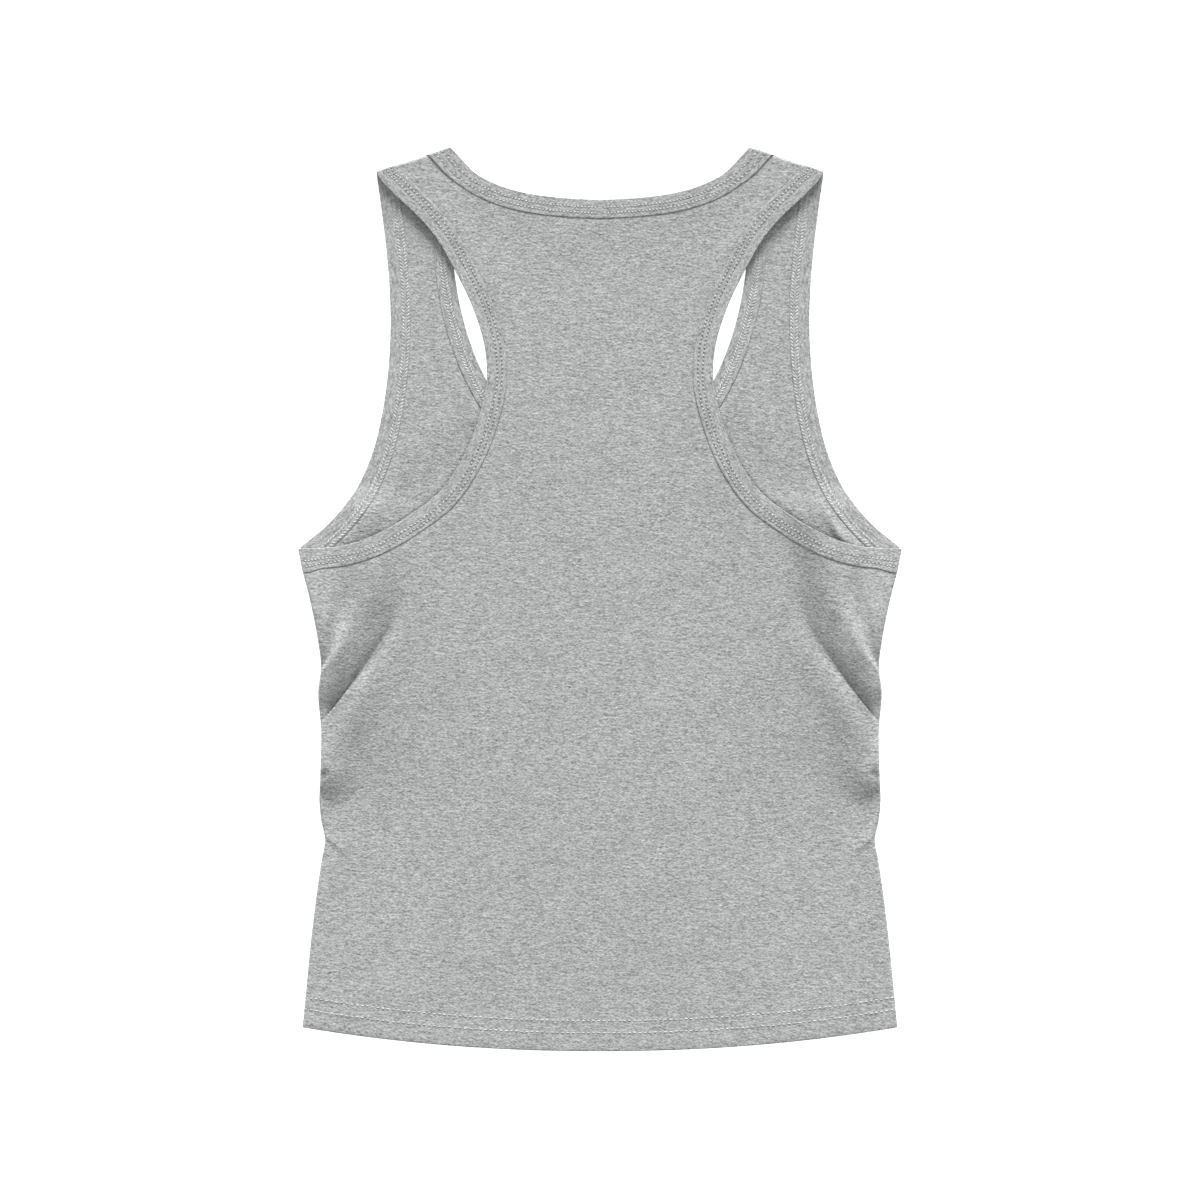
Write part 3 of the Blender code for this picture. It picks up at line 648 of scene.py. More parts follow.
# %% Crowd the points towards the folds
CROWD_IN, CROWD_HOLD = 80.0, (0.3, 5.0)         # only nearer the seam than this, and not at the seam itself
CROWD_SHARE, CROWD_WIDTH, CROWD_ALONG = 0.68, 3.6, (0.5, 0.9)
SHARP = 1.0                                     # a fold that is narrower than this below its path is sharp
SHARP_LINES = [CREASE_LINES[1]] + [row["line"] for row in FOLDS.values() if row["sharp"][0] < SHARP]


def crowded(plan):
    """Points moved towards each sharp line by a part of their way: share · exp(-(distance / width)²)."""
    moved = plan.copy()
    inward = side_half_width(plan[:, 1]) - np.abs(plan[:, 0])
    near = in_region(inward, plan[:, 1], CROWD_IN)
    x, y = plan[near, 0], plan[near, 1]
    hold = smooth(*CROWD_HOLD, inward[near])
    for line in SHARP_LINES:
        across, along, off = beside(line, x, y)
        pull = CROWD_SHARE * np.exp(-(across / CROWD_WIDTH)**2) * hold * (1.0 - smooth(*CROWD_ALONG, along))
        moved[near] -= (pull[:, None] * off) * np.column_stack([np.sign(x), np.ones(len(x))])
    return moved


print(f"points are drawn towards {len(SHARP_LINES)} lines on each side")

# %% [markdown]
# ## Where a point of the flat cut lies
#
# Each layer has an outer face, whose height is a function of the place in the cut. A few waves under half a
# millimetre keep the plain cloth from looking like sheet metal. Where the armholes show the front's inside,
# it is puffed up between its bindings, with one tuck on the right.

# %% Waves and puffs
# How many waves there are to a millimetre across and up, and where each starts.
WAVES, WAVE_HEIGHT = ((0.019, 0.008, 0.91), (-0.011, 0.023, 1.61), (0.027, -0.013, 2.31)), 0.06
UNDERARM_EDGE = EDGES["back_armhole"][np.argmin(EDGES["back_armhole"][:, 0]):]
# The front's puff in two parts: height, and the distances above the back's edge between which it grows.
FRONT_PUFFS = ((0.85, (-2.0, 2.2)), (1.4, (6.0, 40.0)))
FRONT_PUFF_TOP, PUFF_CLEAR = (200.0, 232.0), (9.0, 34.0)    # it ends below the shoulder and at the bindings
FRONT_TUCK = fold(((144.5, 33.0), (141.0, 37.0), (138.2, 41.5), (135.4, 48.0), (132.2, 56.0)), 0.0, 2.3,
                  (12.0, 10.0), (2.5, 2.6), fade_from=0.2)
TUCK_X, TUCK_Y, TUCK_CLEAR = (115.0, 160.0), (20.0, 70.0), (8.0, 20.0)      # outside this box it is nothing


def waves(x, y):
    """A few long low waves: sines whose directions and lengths don't repeat."""
    return WAVE_HEIGHT * sum(np.sin(2 * math.pi * (a * x + b * y) + start) for a, b, start in WAVES)


def front_puff(x, y):
    """How far the front's cloth is puffed up where the armholes show its inside, with a tuck on the right."""
    x, y = np.broadcast_arrays(np.asarray(x, float), np.asarray(y, float))
    above = y - np.interp(np.abs(x), UNDERARM_EDGE[:, 0], UNDERARM_EDGE[:, 1])
    clear = from_front_edges(x, y)
    puff = sum(height * smooth(*between, above) for height, between in FRONT_PUFFS)
    puff = puff * (1.0 - smooth(*FRONT_PUFF_TOP, y)) * smooth(*PUFF_CLEAR, clear)
    near = (x > TUCK_X[0]) & (x < TUCK_X[1]) & (y > TUCK_Y[0]) & (y < TUCK_Y[1])
    puff[near] += fold_height(x[near], y[near], FRONT_TUCK) * smooth(*TUCK_CLEAR, clear[near])
    return puff


print("the front's puff inside the right armhole:",
      np.round(front_puff(np.array([90.0, 100.0, 110.0]), np.full(3, 100.0)), 2), "mm")

# %% [markdown]
# ## The two outer faces
#
# Near a side seam the two faces roll towards each other and meet, and near the hem each panel's edge is a
# rounded fold. The front is pressed by what lies on it, so its gathers are lower than the back's.

# %% Heights of the outer faces
HEM_RAMP_UP = (22.0, 130.0)     # above the hem's double cloth the back comes down between these heights
FRONT_SHARE = 0.3               # the front's gathers, as a share of the back's
SIDE_ROLL, SIDE_GAP = 1.5, 0.12
SIDE_OPEN_Y = (6.0, 16.0)       # the roll ends here, where the bindings start
HEM_NOSE = 0.7


def rolled(share):
    """A quarter circle's fall: 0 at share 0, and 1 at share 1, where it is upright."""
    return 1.0 - np.sqrt(1.0 - share**2)


def flat_height(layer, x, y):
    """Height of a layer's outer face, before its edges roll over."""
    gathered = gathers(x, y)
    if layer == "front":
        return BOUND_STEP * bound(x, y) + FRONT_SHARE * np.maximum(gathered, 0.0) + front_puff(x, y)
    hem = 1.0 - smooth(*HEM_RAMP_UP, y - hem_y(x))
    return BACK_FLAT_FACE + 2 * (HEM_WALL - WALL) * hem + back_rise(x, y) + gathered + waves(x, y)


def face_height(layer, x, y):
    """The outer face's height, rolled over a quarter circle at the sides and rounded at the hem."""
    height = flat_height(layer, x, y)
    seam_x = side_half_width(y)
    low, high = flat_height("front", seam_x, y), flat_height("back", seam_x, y)
    share = np.clip(1.0 - (seam_x - np.abs(x)) / SIDE_ROLL, 0.0, 1.0)
    quarter = rolled(share) * (1.0 - smooth(*SIDE_OPEN_Y, y))
    middle = 0.5 * (low + high) + (SIDE_GAP if layer == "back" else -SIDE_GAP)
    height = height + (middle - height) * quarter
    inset = HEM_NOSE * rolled(np.clip(1.0 - (y - hem_y(x)) / HEM_NOSE, 0.0, 1.0))
    return height - inset if layer == "back" else height + inset


for height in (-200.0, 0.0, 200.0):
    here = [float(face_height(layer, np.array([30.0]), np.array([height]))[0]) for layer in ("front", "back")]
    print(f"at {height:.0f} mm the front's face is {here[0]:.1f} mm high and the back's {here[1]:.1f} mm")

# %% [markdown]
# ## The fold at the shoulder
#
# The last millimetres at a shoulder follow the fold: the distance from the fold's edge becomes an angle from
# 0 to 90 degrees, and the place is read from a circle. The cloth is used up by going round, so the rest of
# the cut moves a little outwards, by less and less farther in.

# %% From the cut to space
FOLD_REACH = 0.7                # the quarter turn takes up this much, seen from above
PRESSED_IN = 16.0               # the move outwards dies away over this distance


def laid(layer, plan, depth, lift=0.0):
    """Points in space for points of the cut, at a depth from the outer face, lifted off the table.

    On the fold the height is radius · sin(angle) from the middle of the stack, and the reach outwards is in
    proportion to radius · cos(angle).
    """
    x, y = plan[..., 0], plan[..., 1]
    inward = 1.0 if layer == "front" else -1.0
    inside = inside_shoulder(x, y)
    flat_z = face_height(layer, x, y) + inward * depth + lift
    turn = np.clip(inside / FOLD_RADIUS, 0.0, 1.0) * math.pi / 2
    radius = FOLD_RADIUS - BOUND_STEP - depth
    on_fold = inside < FOLD_RADIUS
    pressed = (FOLD_RADIUS - FOLD_REACH) * (1.0 - smooth(FOLD_RADIUS, FOLD_RADIUS + PRESSED_IN, inside))
    reach = FOLD_REACH * (1.0 - radius / FOLD_RADIUS * np.cos(turn))
    shift = np.where(on_fold, inside - reach, pressed)
    z = np.where(on_fold, FOLD_RADIUS - inward * radius * np.sin(turn), flat_z)
    return np.stack([x + np.sign(x) * OUT_OF_SHOULDER[0] * shift, y + OUT_OF_SHOULDER[1] * shift, z], axis=-1)


print("a point on the right shoulder's fold:", np.round(laid("back", np.array([[110.0, 255.0]]), 0.0)[0], 1))

# %% [markdown]
# ## Panels as four-sided patches
#
# A panel has too many corners for one rectangle of points, so it is joined from four-sided patches. A
# Coons patch fills the space between four curves: it blends bottom to top, adds the blend from left to
# right, and takes away the blend of the four corners, which was counted twice.

# %% Patches and how they join
def patch(bottom, top, left, right, s, t):
    """Coons patch: (1-t)·bottom + t·top + (1-s)·left + s·right - the corners' bilinear blend."""
    s, t = s[None, :, None], t[:, None, None]
    corners = ((1 - s) * (1 - t) * bottom[0] + s * (1 - t) * bottom[-1]
               + (1 - s) * t * top[0] + s * t * top[-1])
    return (1 - t) * bottom[None] + t * top[None] + (1 - s) * left[:, None] + s * right[:, None] - corners


def both_halves(grid):
    """A right half whose first column is the centre line, joined to its mirror image."""
    return np.concatenate([mirrored(grid)[:, :0:-1], grid], axis=1)


def joined(patches):
    """One list of points and one of quads: points of two patches at the same place become one."""
    points = np.concatenate([g.reshape(-1, 2) for g in patches])
    first = np.cumsum([0] + [g.shape[0] * g.shape[1] for g in patches[:-1]])
    quads = []
    for start, g in zip(first, patches):
        index = start + np.arange(g.shape[0] * g.shape[1]).reshape(g.shape[:2])
        quads.append(np.stack([index[:-1, :-1], index[:-1, 1:], index[1:, 1:], index[1:, :-1]], -1))
    quads = np.concatenate([q.reshape(-1, 4) for q in quads])
    _, keep, same = np.unique(np.round(points, 4), axis=0, return_index=True, return_inverse=True)
    return points[keep], same.reshape(-1)[quads]


ends = np.array([0.0, 1.0])
low_side, left_side = np.column_stack([ends, 0.0 * ends]), np.column_stack([0.0 * ends, ends])
unit_square = patch(low_side, low_side + [0.0, 1.0], left_side, left_side + [1.0, 0.0], ends, ends)
print("corners of a patch round a square:", unit_square.reshape(-1, 2).tolist())

# %% [markdown]
# ## From points to a thin closed cloth
#
# The outer face is the patches laid in space. The inner face is a copy, moved by the wall's thickness
# against the normals, and a rim of quads closes the two along their open edges. Solidify would do this too,
# with a vertex group for the thicker hem, but here it is a few lines of arrays.

# %% Normals, the rim, and a piece in the scene
UV_MM = 100.0       # millimetres to one unit of a cloth's UV


def corner_normals(points, quads):
    """Unit normals of points: the sum of the crossed diagonals of the quads round each."""
    p = points[quads]
    normal = np.cross(p[:, 2] - p[:, 0], p[:, 3] - p[:, 1])
    total = np.zeros_like(points)
    for k in range(4):
        np.add.at(total, quads[:, k], normal)
    return unit(total)


def open_edges(quads):
    """The edges that only one quad has, each in its quad's direction."""
    edges = np.concatenate([quads[:, [k, (k + 1) % 4]] for k in range(4)])
    key = np.sort(edges, axis=1)
    _, inverse, count = np.unique(key, axis=0, return_inverse=True, return_counts=True)
    return edges[count[inverse.reshape(-1)] == 1]


def in_scene(name, data):
    """An object that holds some data, put in the scene."""
    made = bpy.data.objects.new(name, data)
    bpy.context.scene.collection.objects.link(made)
    return made


def make_piece(name, points, faces, uv=None, extra=None):
    """A smooth-shaded mesh object from points in mm, with a UV and a value for each point."""
    mesh = bpy.data.meshes.new(name)
    mesh.from_pydata((points * MM).tolist(), [], faces if isinstance(faces, list) else faces.tolist())
    corner = np.zeros(len(mesh.loops), np.int32)
    mesh.loops.foreach_get("vertex_index", corner)
    if uv is not None:
        layer = mesh.uv_layers.new(name="cloth")
        layer.data.foreach_set("uv", uv[corner].astype(np.float32).ravel())
    for key, values in (extra or {}).items():
        attribute = mesh.attributes.new(key, "FLOAT", "POINT")
        attribute.data.foreach_set("value", values.astype(np.float32))
    mesh.shade_smooth()
    print(f"{name}: {sum(len(p.vertices) - 2 for p in mesh.polygons)} triangles")
    return in_scene(name, mesh)


def cloth_panel(name, layer, patches):
    """A closed thin panel: the outer face, and an inner face one wall along its normals, with a rim."""
    plan, quads = joined(patches)
    plan = crowded(plan)
    outer = laid(layer, plan, np.zeros(len(plan)), seam_swell(layer, plan[:, 0], plan[:, 1]))
    quads = quads if layer == "back" else quads[:, ::-1]
    up = plan[:, 1] - hem_y(plan[:, 0])
    wall = WALL + (HEM_WALL - WALL) * (1.0 - smooth(HEM_DEPTH, HEM_DEPTH + HEM_STEP, up))
    inner = outer - corner_normals(outer, quads) * wall[:, None]
    count = len(outer)
    rim = open_edges(quads)
    rim_faces = np.column_stack([rim[:, 1], rim[:, 0], rim[:, 0] + count, rim[:, 1] + count])
    faces = np.concatenate([quads, quads[:, ::-1] + count, rim_faces])
    return make_piece(name, np.vstack([outer, inner]), faces, uv=np.vstack([plan, plan]) / UV_MM)


# %% [markdown]
# ## Columns and rows
#
# The columns are counted from the side seam inward, because that is where the cloth rolls over and where
# the gathers are. Columns and rows are close together where the cloth folds, and wide apart over the plain
# middle. The same columns run through the patches above, so that their points match.

# %% Spacing of the columns and rows
def steps(*stretches):
    """Places from 0 in steps: each stretch is (step, up to)."""
    places = [0.0]
    for step, stop in stretches:
        count = max(1, int(round((stop - places[-1]) / step)))
        places += list(np.linspace(places[-1], stop, count + 1)[1:])
    return np.array(places)


HALF = UNDERARM[0]
in_from_side = steps((0.1, 0.1), (0.2, 0.3), (0.4, 1.5), (0.6, 2.7), (0.95, 42.0), (1.6, 64.0), (3.2, HALF))
COLUMNS = 1.0 - in_from_side[::-1] / HALF
up_from_hem = steps((0.1, 0.1), (0.25, 0.35), (0.35, 0.7), (2.9, HEM_DEPTH), (HEM_STEP, HEM_DEPTH + HEM_STEP),
                    (2.9, 70.0), (1.15, 264.0), (2.2, 278.0))
ROWS = up_from_hem / up_from_hem[-1]
down_from_top = steps((0.45, 4.5), (2.8, 160.0))
UPPER_ROWS = 1.0 - down_from_top[::-1] / down_from_top[-1]
print(len(COLUMNS), "columns in a half,", len(ROWS), "rows below the armholes and", len(UPPER_ROWS), "above")

# %% [markdown]
# ## The lower half of a panel
#
# Back and front have the same sides and the same hem, so one function makes the patch below the armholes
# for both, under a top edge that each panel brings along.

# %% The patch below the armholes
def lower_half(top):
    """The right half below the armholes, under a top edge that has a point for each column."""
    x = COLUMNS * HEM_CORNER[0]
    bottom = np.column_stack([x, hem_y(x)])
    left = np.column_stack([np.zeros(len(ROWS)), bottom[0, 1] + ROWS * (top[0, 1] - bottom[0, 1])])
    heights = HEM_CORNER[1] + ROWS * (top[-1, 1] - HEM_CORNER[1])
    right = np.column_stack([side_half_width(heights), heights])
    right[-1] = top[-1]
    return patch(bottom, top, left, right, COLUMNS, ROWS)


def nearest(values, wanted):
    """Index of the value that is nearest to the wanted one."""
    return int(np.argmin(np.abs(values - wanted)))


def height_at(line, x):
    """Height of a line at places across, where it runs outwards."""
    return np.interp(x, line[:, 0], line[:, 1])


def up_from(line, x, shares):
    """Points at shares from the last place of a line that is x from the centre line to its first point."""
    run = run_of(line)
    ahead = line[:, 0] - x
    crossing = np.nonzero(ahead[:-1] * ahead[1:] <= 0)[0][-1]
    share = ahead[crossing] / (ahead[crossing] - ahead[crossing + 1])
    start = run[crossing] + share * (run[crossing + 1] - run[crossing])
    return at_runs(line, start - start * shares)


print("each lower patch has", len(ROWS) * (2 * len(COLUMNS) - 1), "points")

# %% [markdown]
# ## The back
#
# The back is narrow between the shoulder blades. Its lower patch ends along the armholes up to where they
# turn upwards, and a second patch carries on from there to the neck and shoulders.

# %% Make the back
BACK_MEET_X, BACK_MEET_Y = 92.0, 72.0       # where the patches meet: at the armhole, and on the centre line
LOW_ARMHOLE_FROM = 0.45                     # from this share of its points the armhole runs outwards
NECK_SHARE = 0.70                           # share of the columns that end at the neck and not the shoulder


def back_patches():
    """The back's lower patch and the racer patch above it."""
    armhole, neck = raw_edge("back_armhole"), raw_edge("back_neck")
    j = nearest(COLUMNS * HALF, BACK_MEET_X)
    x = COLUMNS * armhole[-1, 0]
    top_y = height_at(armhole[int(LOW_ARMHOLE_FROM * len(armhole)):], x)
    bridge = top_y[j] + (BACK_MEET_Y - top_y[j]) * (1.0 - (x / x[j])**2)
    top = np.column_stack([x, np.where(np.arange(len(x)) < j, bridge, top_y)])
    top[-1] = armhole[-1]
    columns = COLUMNS[: j + 1] / COLUMNS[j]
    n = nearest(columns, NECK_SHARE)
    along_neck = at_runs(neck, run_of(neck)[-1] * (1.0 - columns[: n + 1] / columns[n]))
    shoulder_shares = ((columns[n:] - columns[n]) / (1.0 - columns[n]))[1:, None]
    shoulder = neck[0] + shoulder_shares * (armhole[0] - neck[0])
    right = up_from(armhole, x[j], UPPER_ROWS)
    right[0] = top[j]
    centre = BACK_MEET_Y + UPPER_ROWS * (neck[-1, 1] - BACK_MEET_Y)
    left = np.column_stack([np.zeros(len(centre)), centre])
    upper = patch(top[: j + 1], np.vstack([along_neck, shoulder]), left, right, columns, UPPER_ROWS)
    return [both_halves(lower_half(top)), both_halves(upper)]


back = cloth_panel("back_cloth", "back", back_patches())

# %% [markdown]
# ## The front
#
# The front has a deep neck, so above its lower patch there is one patch for each strap.

# %% Make the front
STRAP_X = (70.0, 138.0)                     # the straps start between these distances from the centre line
LOW_NECK_FROM, FRONT_ARMHOLE_FROM = 0.4, 0.5    # from these shares of their points the edges run outwards


def front_patches():
    """The front's lower patch and its two straps."""
    armhole, neck = raw_edge("front_armhole"), raw_edge("front_neck")
    n, a = (nearest(COLUMNS * HALF, place) for place in STRAP_X)
    x = COLUMNS * armhole[-1, 0]
    neck_y = height_at(neck[int(LOW_NECK_FROM * len(neck)):][::-1], x)
    arm_y = height_at(armhole[int(FRONT_ARMHOLE_FROM * len(armhole)):], x)
    crossing = neck_y[n] + (arm_y[a] - neck_y[n]) * np.clip((x - x[n]) / (x[a] - x[n]), 0.0, 1.0)
    index = np.arange(len(x))
    top = np.column_stack([x, np.where(index <= n, neck_y, np.where(index < a, crossing, arm_y))])
    top[-1] = armhole[-1]
    columns = (COLUMNS[n: a + 1] - COLUMNS[n]) / (COLUMNS[a] - COLUMNS[n])
    left, right = up_from(neck, x[n], UPPER_ROWS), up_from(armhole, x[a], UPPER_ROWS)
    left[0], right[0] = top[n], top[a]
    shoulder = neck[0] + columns[:, None] * (armhole[0] - neck[0])
    strap = patch(top[n: a + 1], shoulder, left, right, columns, UPPER_ROWS)
    return [both_halves(lower_half(top)), strap, mirrored(strap)[:, ::-1]]


front = cloth_panel("front_cloth", "front", front_patches())

# %% [markdown]
# ## The bindings
#
# A binding is a strip folded round the raw edge, so its cross-section is a U lying on its side. The needle
# threads pull two grooves into each leaf, and small shadows are painted into the colour where the needle
# holes are.

# %% The grooves, and the painted shade at the needle holes
ROW_REACHES = {"neck": (4.6, 8.0), "armhole": (6.1, 8.9)}       # the two rows, from the garment's edge in
PITCH = {"neck": 2.0, "armhole": 2.2}                           # from stitch to stitch
GROOVE_DEPTH, GROOVE_WIDTH, GROOVE_PULSE = 0.14, 0.62, 0.4      # the last is the share that comes and goes
# size of the painted shade at each of the needle holes, across a row and along it
HOLE_SHADE_WIDTH, HOLE_SHADE_LENGTH = 0.55, 0.7


def row_bells(kind, reach, width, bell):
    """For each of the two rows, a bell across it: exp(-(distance / bell)²)."""
    return [np.exp(-((reach - row * width / WIDTHS[kind][0]) / bell)**2) for row in ROW_REACHES[kind]]


def leaf_relief(kind, reach, run, width):
    """How far a leaf's face sinks at the stitch rows: a bell across a row times a cosine along it."""
    along = (1.0 - GROOVE_PULSE) + GROOVE_PULSE * np.cos(2 * math.pi * run / PITCH[kind])
    return sum(near * GROOVE_DEPTH * along for near in row_bells(kind, reach, width, GROOVE_WIDTH))


def needle_hole_shades(kind, reach, run, width):
    """Painted shade at a row's needle holes, 1 at each and 0 between: a bell across the row times a bell
    along it.
    """
    along = np.exp(-(np.sin(math.pi * run / PITCH[kind]) / HOLE_SHADE_LENGTH)**2)
    return sum(near * along for near in row_bells(kind, reach, width, HOLE_SHADE_WIDTH))


print(f"a neck groove is {float(leaf_relief('neck', ROW_REACHES['neck'][0], 0.0, NECK_WIDTH)):.2f} mm deep")

# %% [markdown]
# ## The strip's cross-section
#
# The section is an array of (share of the width, distance in, depth, side). It runs along the outer leaf to
# the garment's edge, round it, back along the inner leaf, and through the slot that holds the panel. The
# slot is a little wider than the panel, and its mouth is cut slantwise for the panel's swell.

# %% The cross-section
EDGE_INSET = 0.25                           # the leaves start this far inside the garment's edge
LEAF_PLACES = np.append(np.linspace(1.0, 0.0, 22)[1:-1], [0.012, 0.0])      # shares of the leaf's width
CORNER_IN = 0.3                             # the leaf's rounded edge at the seam takes up this much
SEAM_CORNER = ((0.0, 0.8), (-0.08, 0.25))   # and has points at (distance in, share of the seam's step)
LEAF_BEVEL, SLOT_BEHIND = 3.6, 0.4          # length of the slant, and the slot's end behind the round edge


def section(kind):
    """The U: two straight leaves, joined by half an ellipse, inset · (1 - cos) in and half · sin deep.

    Columns are share of the width, distance in, depth, and 1 on the outer leaf or -1 on the inner.
    """
    low, high = -BOUND_STEP, PANEL_ROOM + BOUND_STEP
    half = (high - low) / 2
    leaf_out = np.column_stack([LEAF_PLACES, (1 - LEAF_PLACES) * EDGE_INSET - LEAF_PLACES * CORNER_IN,
                                np.full(len(LEAF_PLACES), low), np.ones(len(LEAF_PLACES))])
    corner = [[1.0, inward, low + share * SEAM_STEP[kind], 0.0] for inward, share in SEAM_CORNER]
    leaf_out = np.vstack([corner, [[1.0, -CORNER_IN, low, 0.5]], leaf_out])
    turn = np.radians(np.linspace(-90.0, 90.0, 11))[1:-1]
    none = np.zeros(len(turn))
    round_edge = np.column_stack([none, EDGE_INSET * (1 - np.cos(turn)), PANEL_ROOM / 2 + half * np.sin(turn),
                                  none])
    leaf_in = leaf_out[::-1] * np.array([1, 1, -1, -1]) + np.array([0, 0, PANEL_ROOM, 0])
    back_of_slot = half + SLOT_BEHIND
    slot = np.array([(1.0, -LEAF_BEVEL, PANEL_ROOM + SEAM_GAP, 0.0),
                     (0.0, back_of_slot, PANEL_ROOM + SEAM_GAP, 0.0),
                     (0.0, back_of_slot, -SEAM_GAP, 0.0), (1.0, -LEAF_BEVEL, -SEAM_GAP, 0.0)])
    return np.vstack([leaf_out, round_edge, leaf_in, slot])


print("points round the cross-section:", len(section("neck")))

# %% [markdown]
# ## The sweep
#
# The sweep is one array operation: edge point plus reach times direction, then the fold and the heights by
# laid(). A curve with a bevel object carries a section along too, but it couldn't lay it over two layers of
# cloth.

# %% The sweep along an edge
STATION_STEP = 0.62
INNER_UV_SHIFT = 30.0       # the inner leaf's fibres are read this far beside the outer leaf's


def swept(edge, left=False):
    """The section at each station of an edge: an array of stations by points, its UVs, and its painted shade
    at the needle holes.
    """
    layer, kind = edge.split("_")
    points, across, widths, runs = stations(edge, STATION_STEP)
    part = section(kind)
    runs, widths = runs[:, None], widths[:, None]
    reach = part[:, 0] * widths + part[:, 1]
    plan = points[:, None, :] + reach[..., None] * across[:, None, :]
    plan = mirrored(plan) if left else plan
    depth = part[:, 2] + part[:, 3] * leaf_relief(kind, reach, runs, widths)
    side = reach + np.where(part[:, 2] > PANEL_ROOM / 2, INNER_UV_SHIFT, 0.0)
    # painted shade: how much the colour is darkened round the needle holes, on the outer leaf only
    hole_shades = needle_hole_shades(kind, reach, runs, widths) * (part[:, 3] > 0.0)
    uv = np.stack([np.broadcast_to(runs, side.shape), side], axis=-1) / UV_MM
    return laid(layer, plan, depth), np.concatenate([uv, hole_shades[..., None]], axis=-1)


def turned_right(piece):
    """Makes a closed mesh's faces point outwards: if its volume is negative, they are all flipped."""
    mesh = piece.data
    corners = np.zeros(len(mesh.vertices) * 3)
    mesh.vertices.foreach_get("co", corners)
    mesh.calc_loop_triangles()
    tri = np.zeros(len(mesh.loop_triangles) * 3, np.int32)
    mesh.loop_triangles.foreach_get("vertices", tri)
    p = corners.reshape(-1, 3)[tri.reshape(-1, 3)]
    volume = (p[:, 0] * np.cross(p[:, 1], p[:, 2])).sum() / 6
    if volume < 0:
        mesh.flip_normals()
    return volume


def make_binding(name, rings, marks, closed):
    """A tube through the cross-sections, joined end to end or capped. marks: UV and the painted shade at the
    needle holes.
    """
    count, around = rings.shape[:2]
    i = np.arange(count if closed else count - 1)[:, None]
    k = np.arange(around)[None, :]
    ahead, next_k = (i + 1) % count, (k + 1) % around
    faces = np.stack([i * around + k, ahead * around + k, ahead * around + next_k, i * around + next_k], -1)
    faces = faces.reshape(-1, 4).tolist()
    if not closed:
        faces += [list(range(around)), list(range(count * around - 1, (count - 1) * around - 1, -1))]
    marks = marks.reshape(-1, 3)
    # the painted shade at the needle holes goes to the mesh as a value for each point
    piece = make_piece(name, rings.reshape(-1, 3), faces, marks[:, :2], {"needle_hole_shade": marks[:, 2]})
    print(f"{name}: {abs(turned_right(piece)) / MM**3:.0f} mm³ of cloth")
    return piece


# %% [markdown]
# ## Two kinds of binding
#
# The neck's strip is one ring. It goes from the right shoulder along the back to the left shoulder, and
# returns along the front. An armhole's strip has two ends, which lie at the side seam. The marl's pattern
# runs on from stretch to stretch, so that it doesn't jump at a shoulder.

# %% Make the bindings
def run_on(marks, start):
    """A half's marks, with its run counted backwards from the place where the half before it ended."""
    return np.concatenate([2 * start - marks[..., :1], marks[..., 1:]], axis=-1)


(back_r, uv_br), (back_l, uv_bl) = swept("back_neck"), swept("back_neck", True)
(front_r, uv_fr), (front_l, uv_fl) = swept("front_neck"), swept("front_neck", True)
neck_ring = np.concatenate([back_r, back_l[-2::-1], front_l[1:], front_r[-2:0:-1]])
half_back, half_front = uv_br[-1, 0, 0], uv_fr[-1, 0, 0]
neck_uv = np.concatenate([uv_br, run_on(uv_bl, half_back)[-2::-1], uv_fl[1:] + [2 * half_back, 0.0, 0.0],
                          run_on(uv_fr, half_back + half_front)[-2:0:-1]])
neck_band = make_binding("neck_band", neck_ring, neck_uv, True)
armhole_bands = {}
for word, on_left in (("left", True), ("right", False)):
    front_part, front_uv = swept("front_armhole", on_left)
    back_part, back_uv = swept("back_armhole", on_left)
    rings = np.concatenate([front_part[::-1], back_part[1:]])
    uvs = np.concatenate([run_on(front_uv, 0.0)[::-1], back_uv[1:]])
    armhole_bands[word] = make_binding(f"armhole_band_{word}", rings, uvs, False)

# %% [markdown]
# ## A bead of thread
#
# A stitch is one small bead, a closed surface of two parameters. Every row is that bead placed at each pitch
# along a line: the bead's points are multiplied by three axes at each place, all at once. Instances would do
# this too, but in one mesh it is simple to give each stitch its own shade.

# %% A bead of thread, and how it is placed
BEAD_AROUND, BEAD_RINGS = 6, 4


def bead(length, width, height):
    """A bead: its radius grows and shrinks along its length as the square root of a sine."""
    t = np.linspace(0.0, math.pi, BEAD_RINGS + 1)[1:-1]
    k = np.arange(BEAD_AROUND)
    angle = k * 2 * math.pi / BEAD_AROUND
    thick = np.sqrt(np.clip(np.sin(t), 0.0, 1.0))[:, None]
    x = np.broadcast_to((-0.5 * length * np.cos(t))[:, None], (len(t), BEAD_AROUND))
    body = np.stack([x, 0.5 * width * thick * np.cos(angle), 0.5 * height * thick * np.sin(angle)], axis=-1)
    points = np.vstack([body.reshape(-1, 3), [[-0.5 * length, 0, 0], [0.5 * length, 0, 0]]])
    after = (k + 1) % BEAD_AROUND
    tris = []
    for ring in range(len(t) - 1):
        a, b = ring * BEAD_AROUND + k, ring * BEAD_AROUND + after
        c, d = a + BEAD_AROUND, b + BEAD_AROUND
        tris += [np.stack([a, b, d], -1), np.stack([a, d, c], -1)]
    tail, head = np.full(BEAD_AROUND, len(points) - 2), np.full(BEAD_AROUND, len(points) - 1)
    last = (len(t) - 1) * BEAD_AROUND
    tris += [np.stack([after, k, tail], -1), np.stack([last + k, last + after, head], -1)]
    return points, np.concatenate(tris)


def placed(shape, centres, forward, upward, shade):
    """Copies of a shape at each centre, with its x along forward and its z along upward."""
    points, tris = shape
    forward = unit(forward)
    sideways = unit(np.cross(upward, forward))
    upward = np.cross(forward, sideways)
    axes = np.stack([forward, sideways, upward], axis=1)
    spread = np.einsum("pk,nkc->npc", points, axes) + centres[:, None, :]
    index = tris[None] + (np.arange(len(centres)) * len(points))[:, None, None]
    return spread.reshape(-1, 3), index.reshape(-1, 3), np.repeat(shade, len(points))


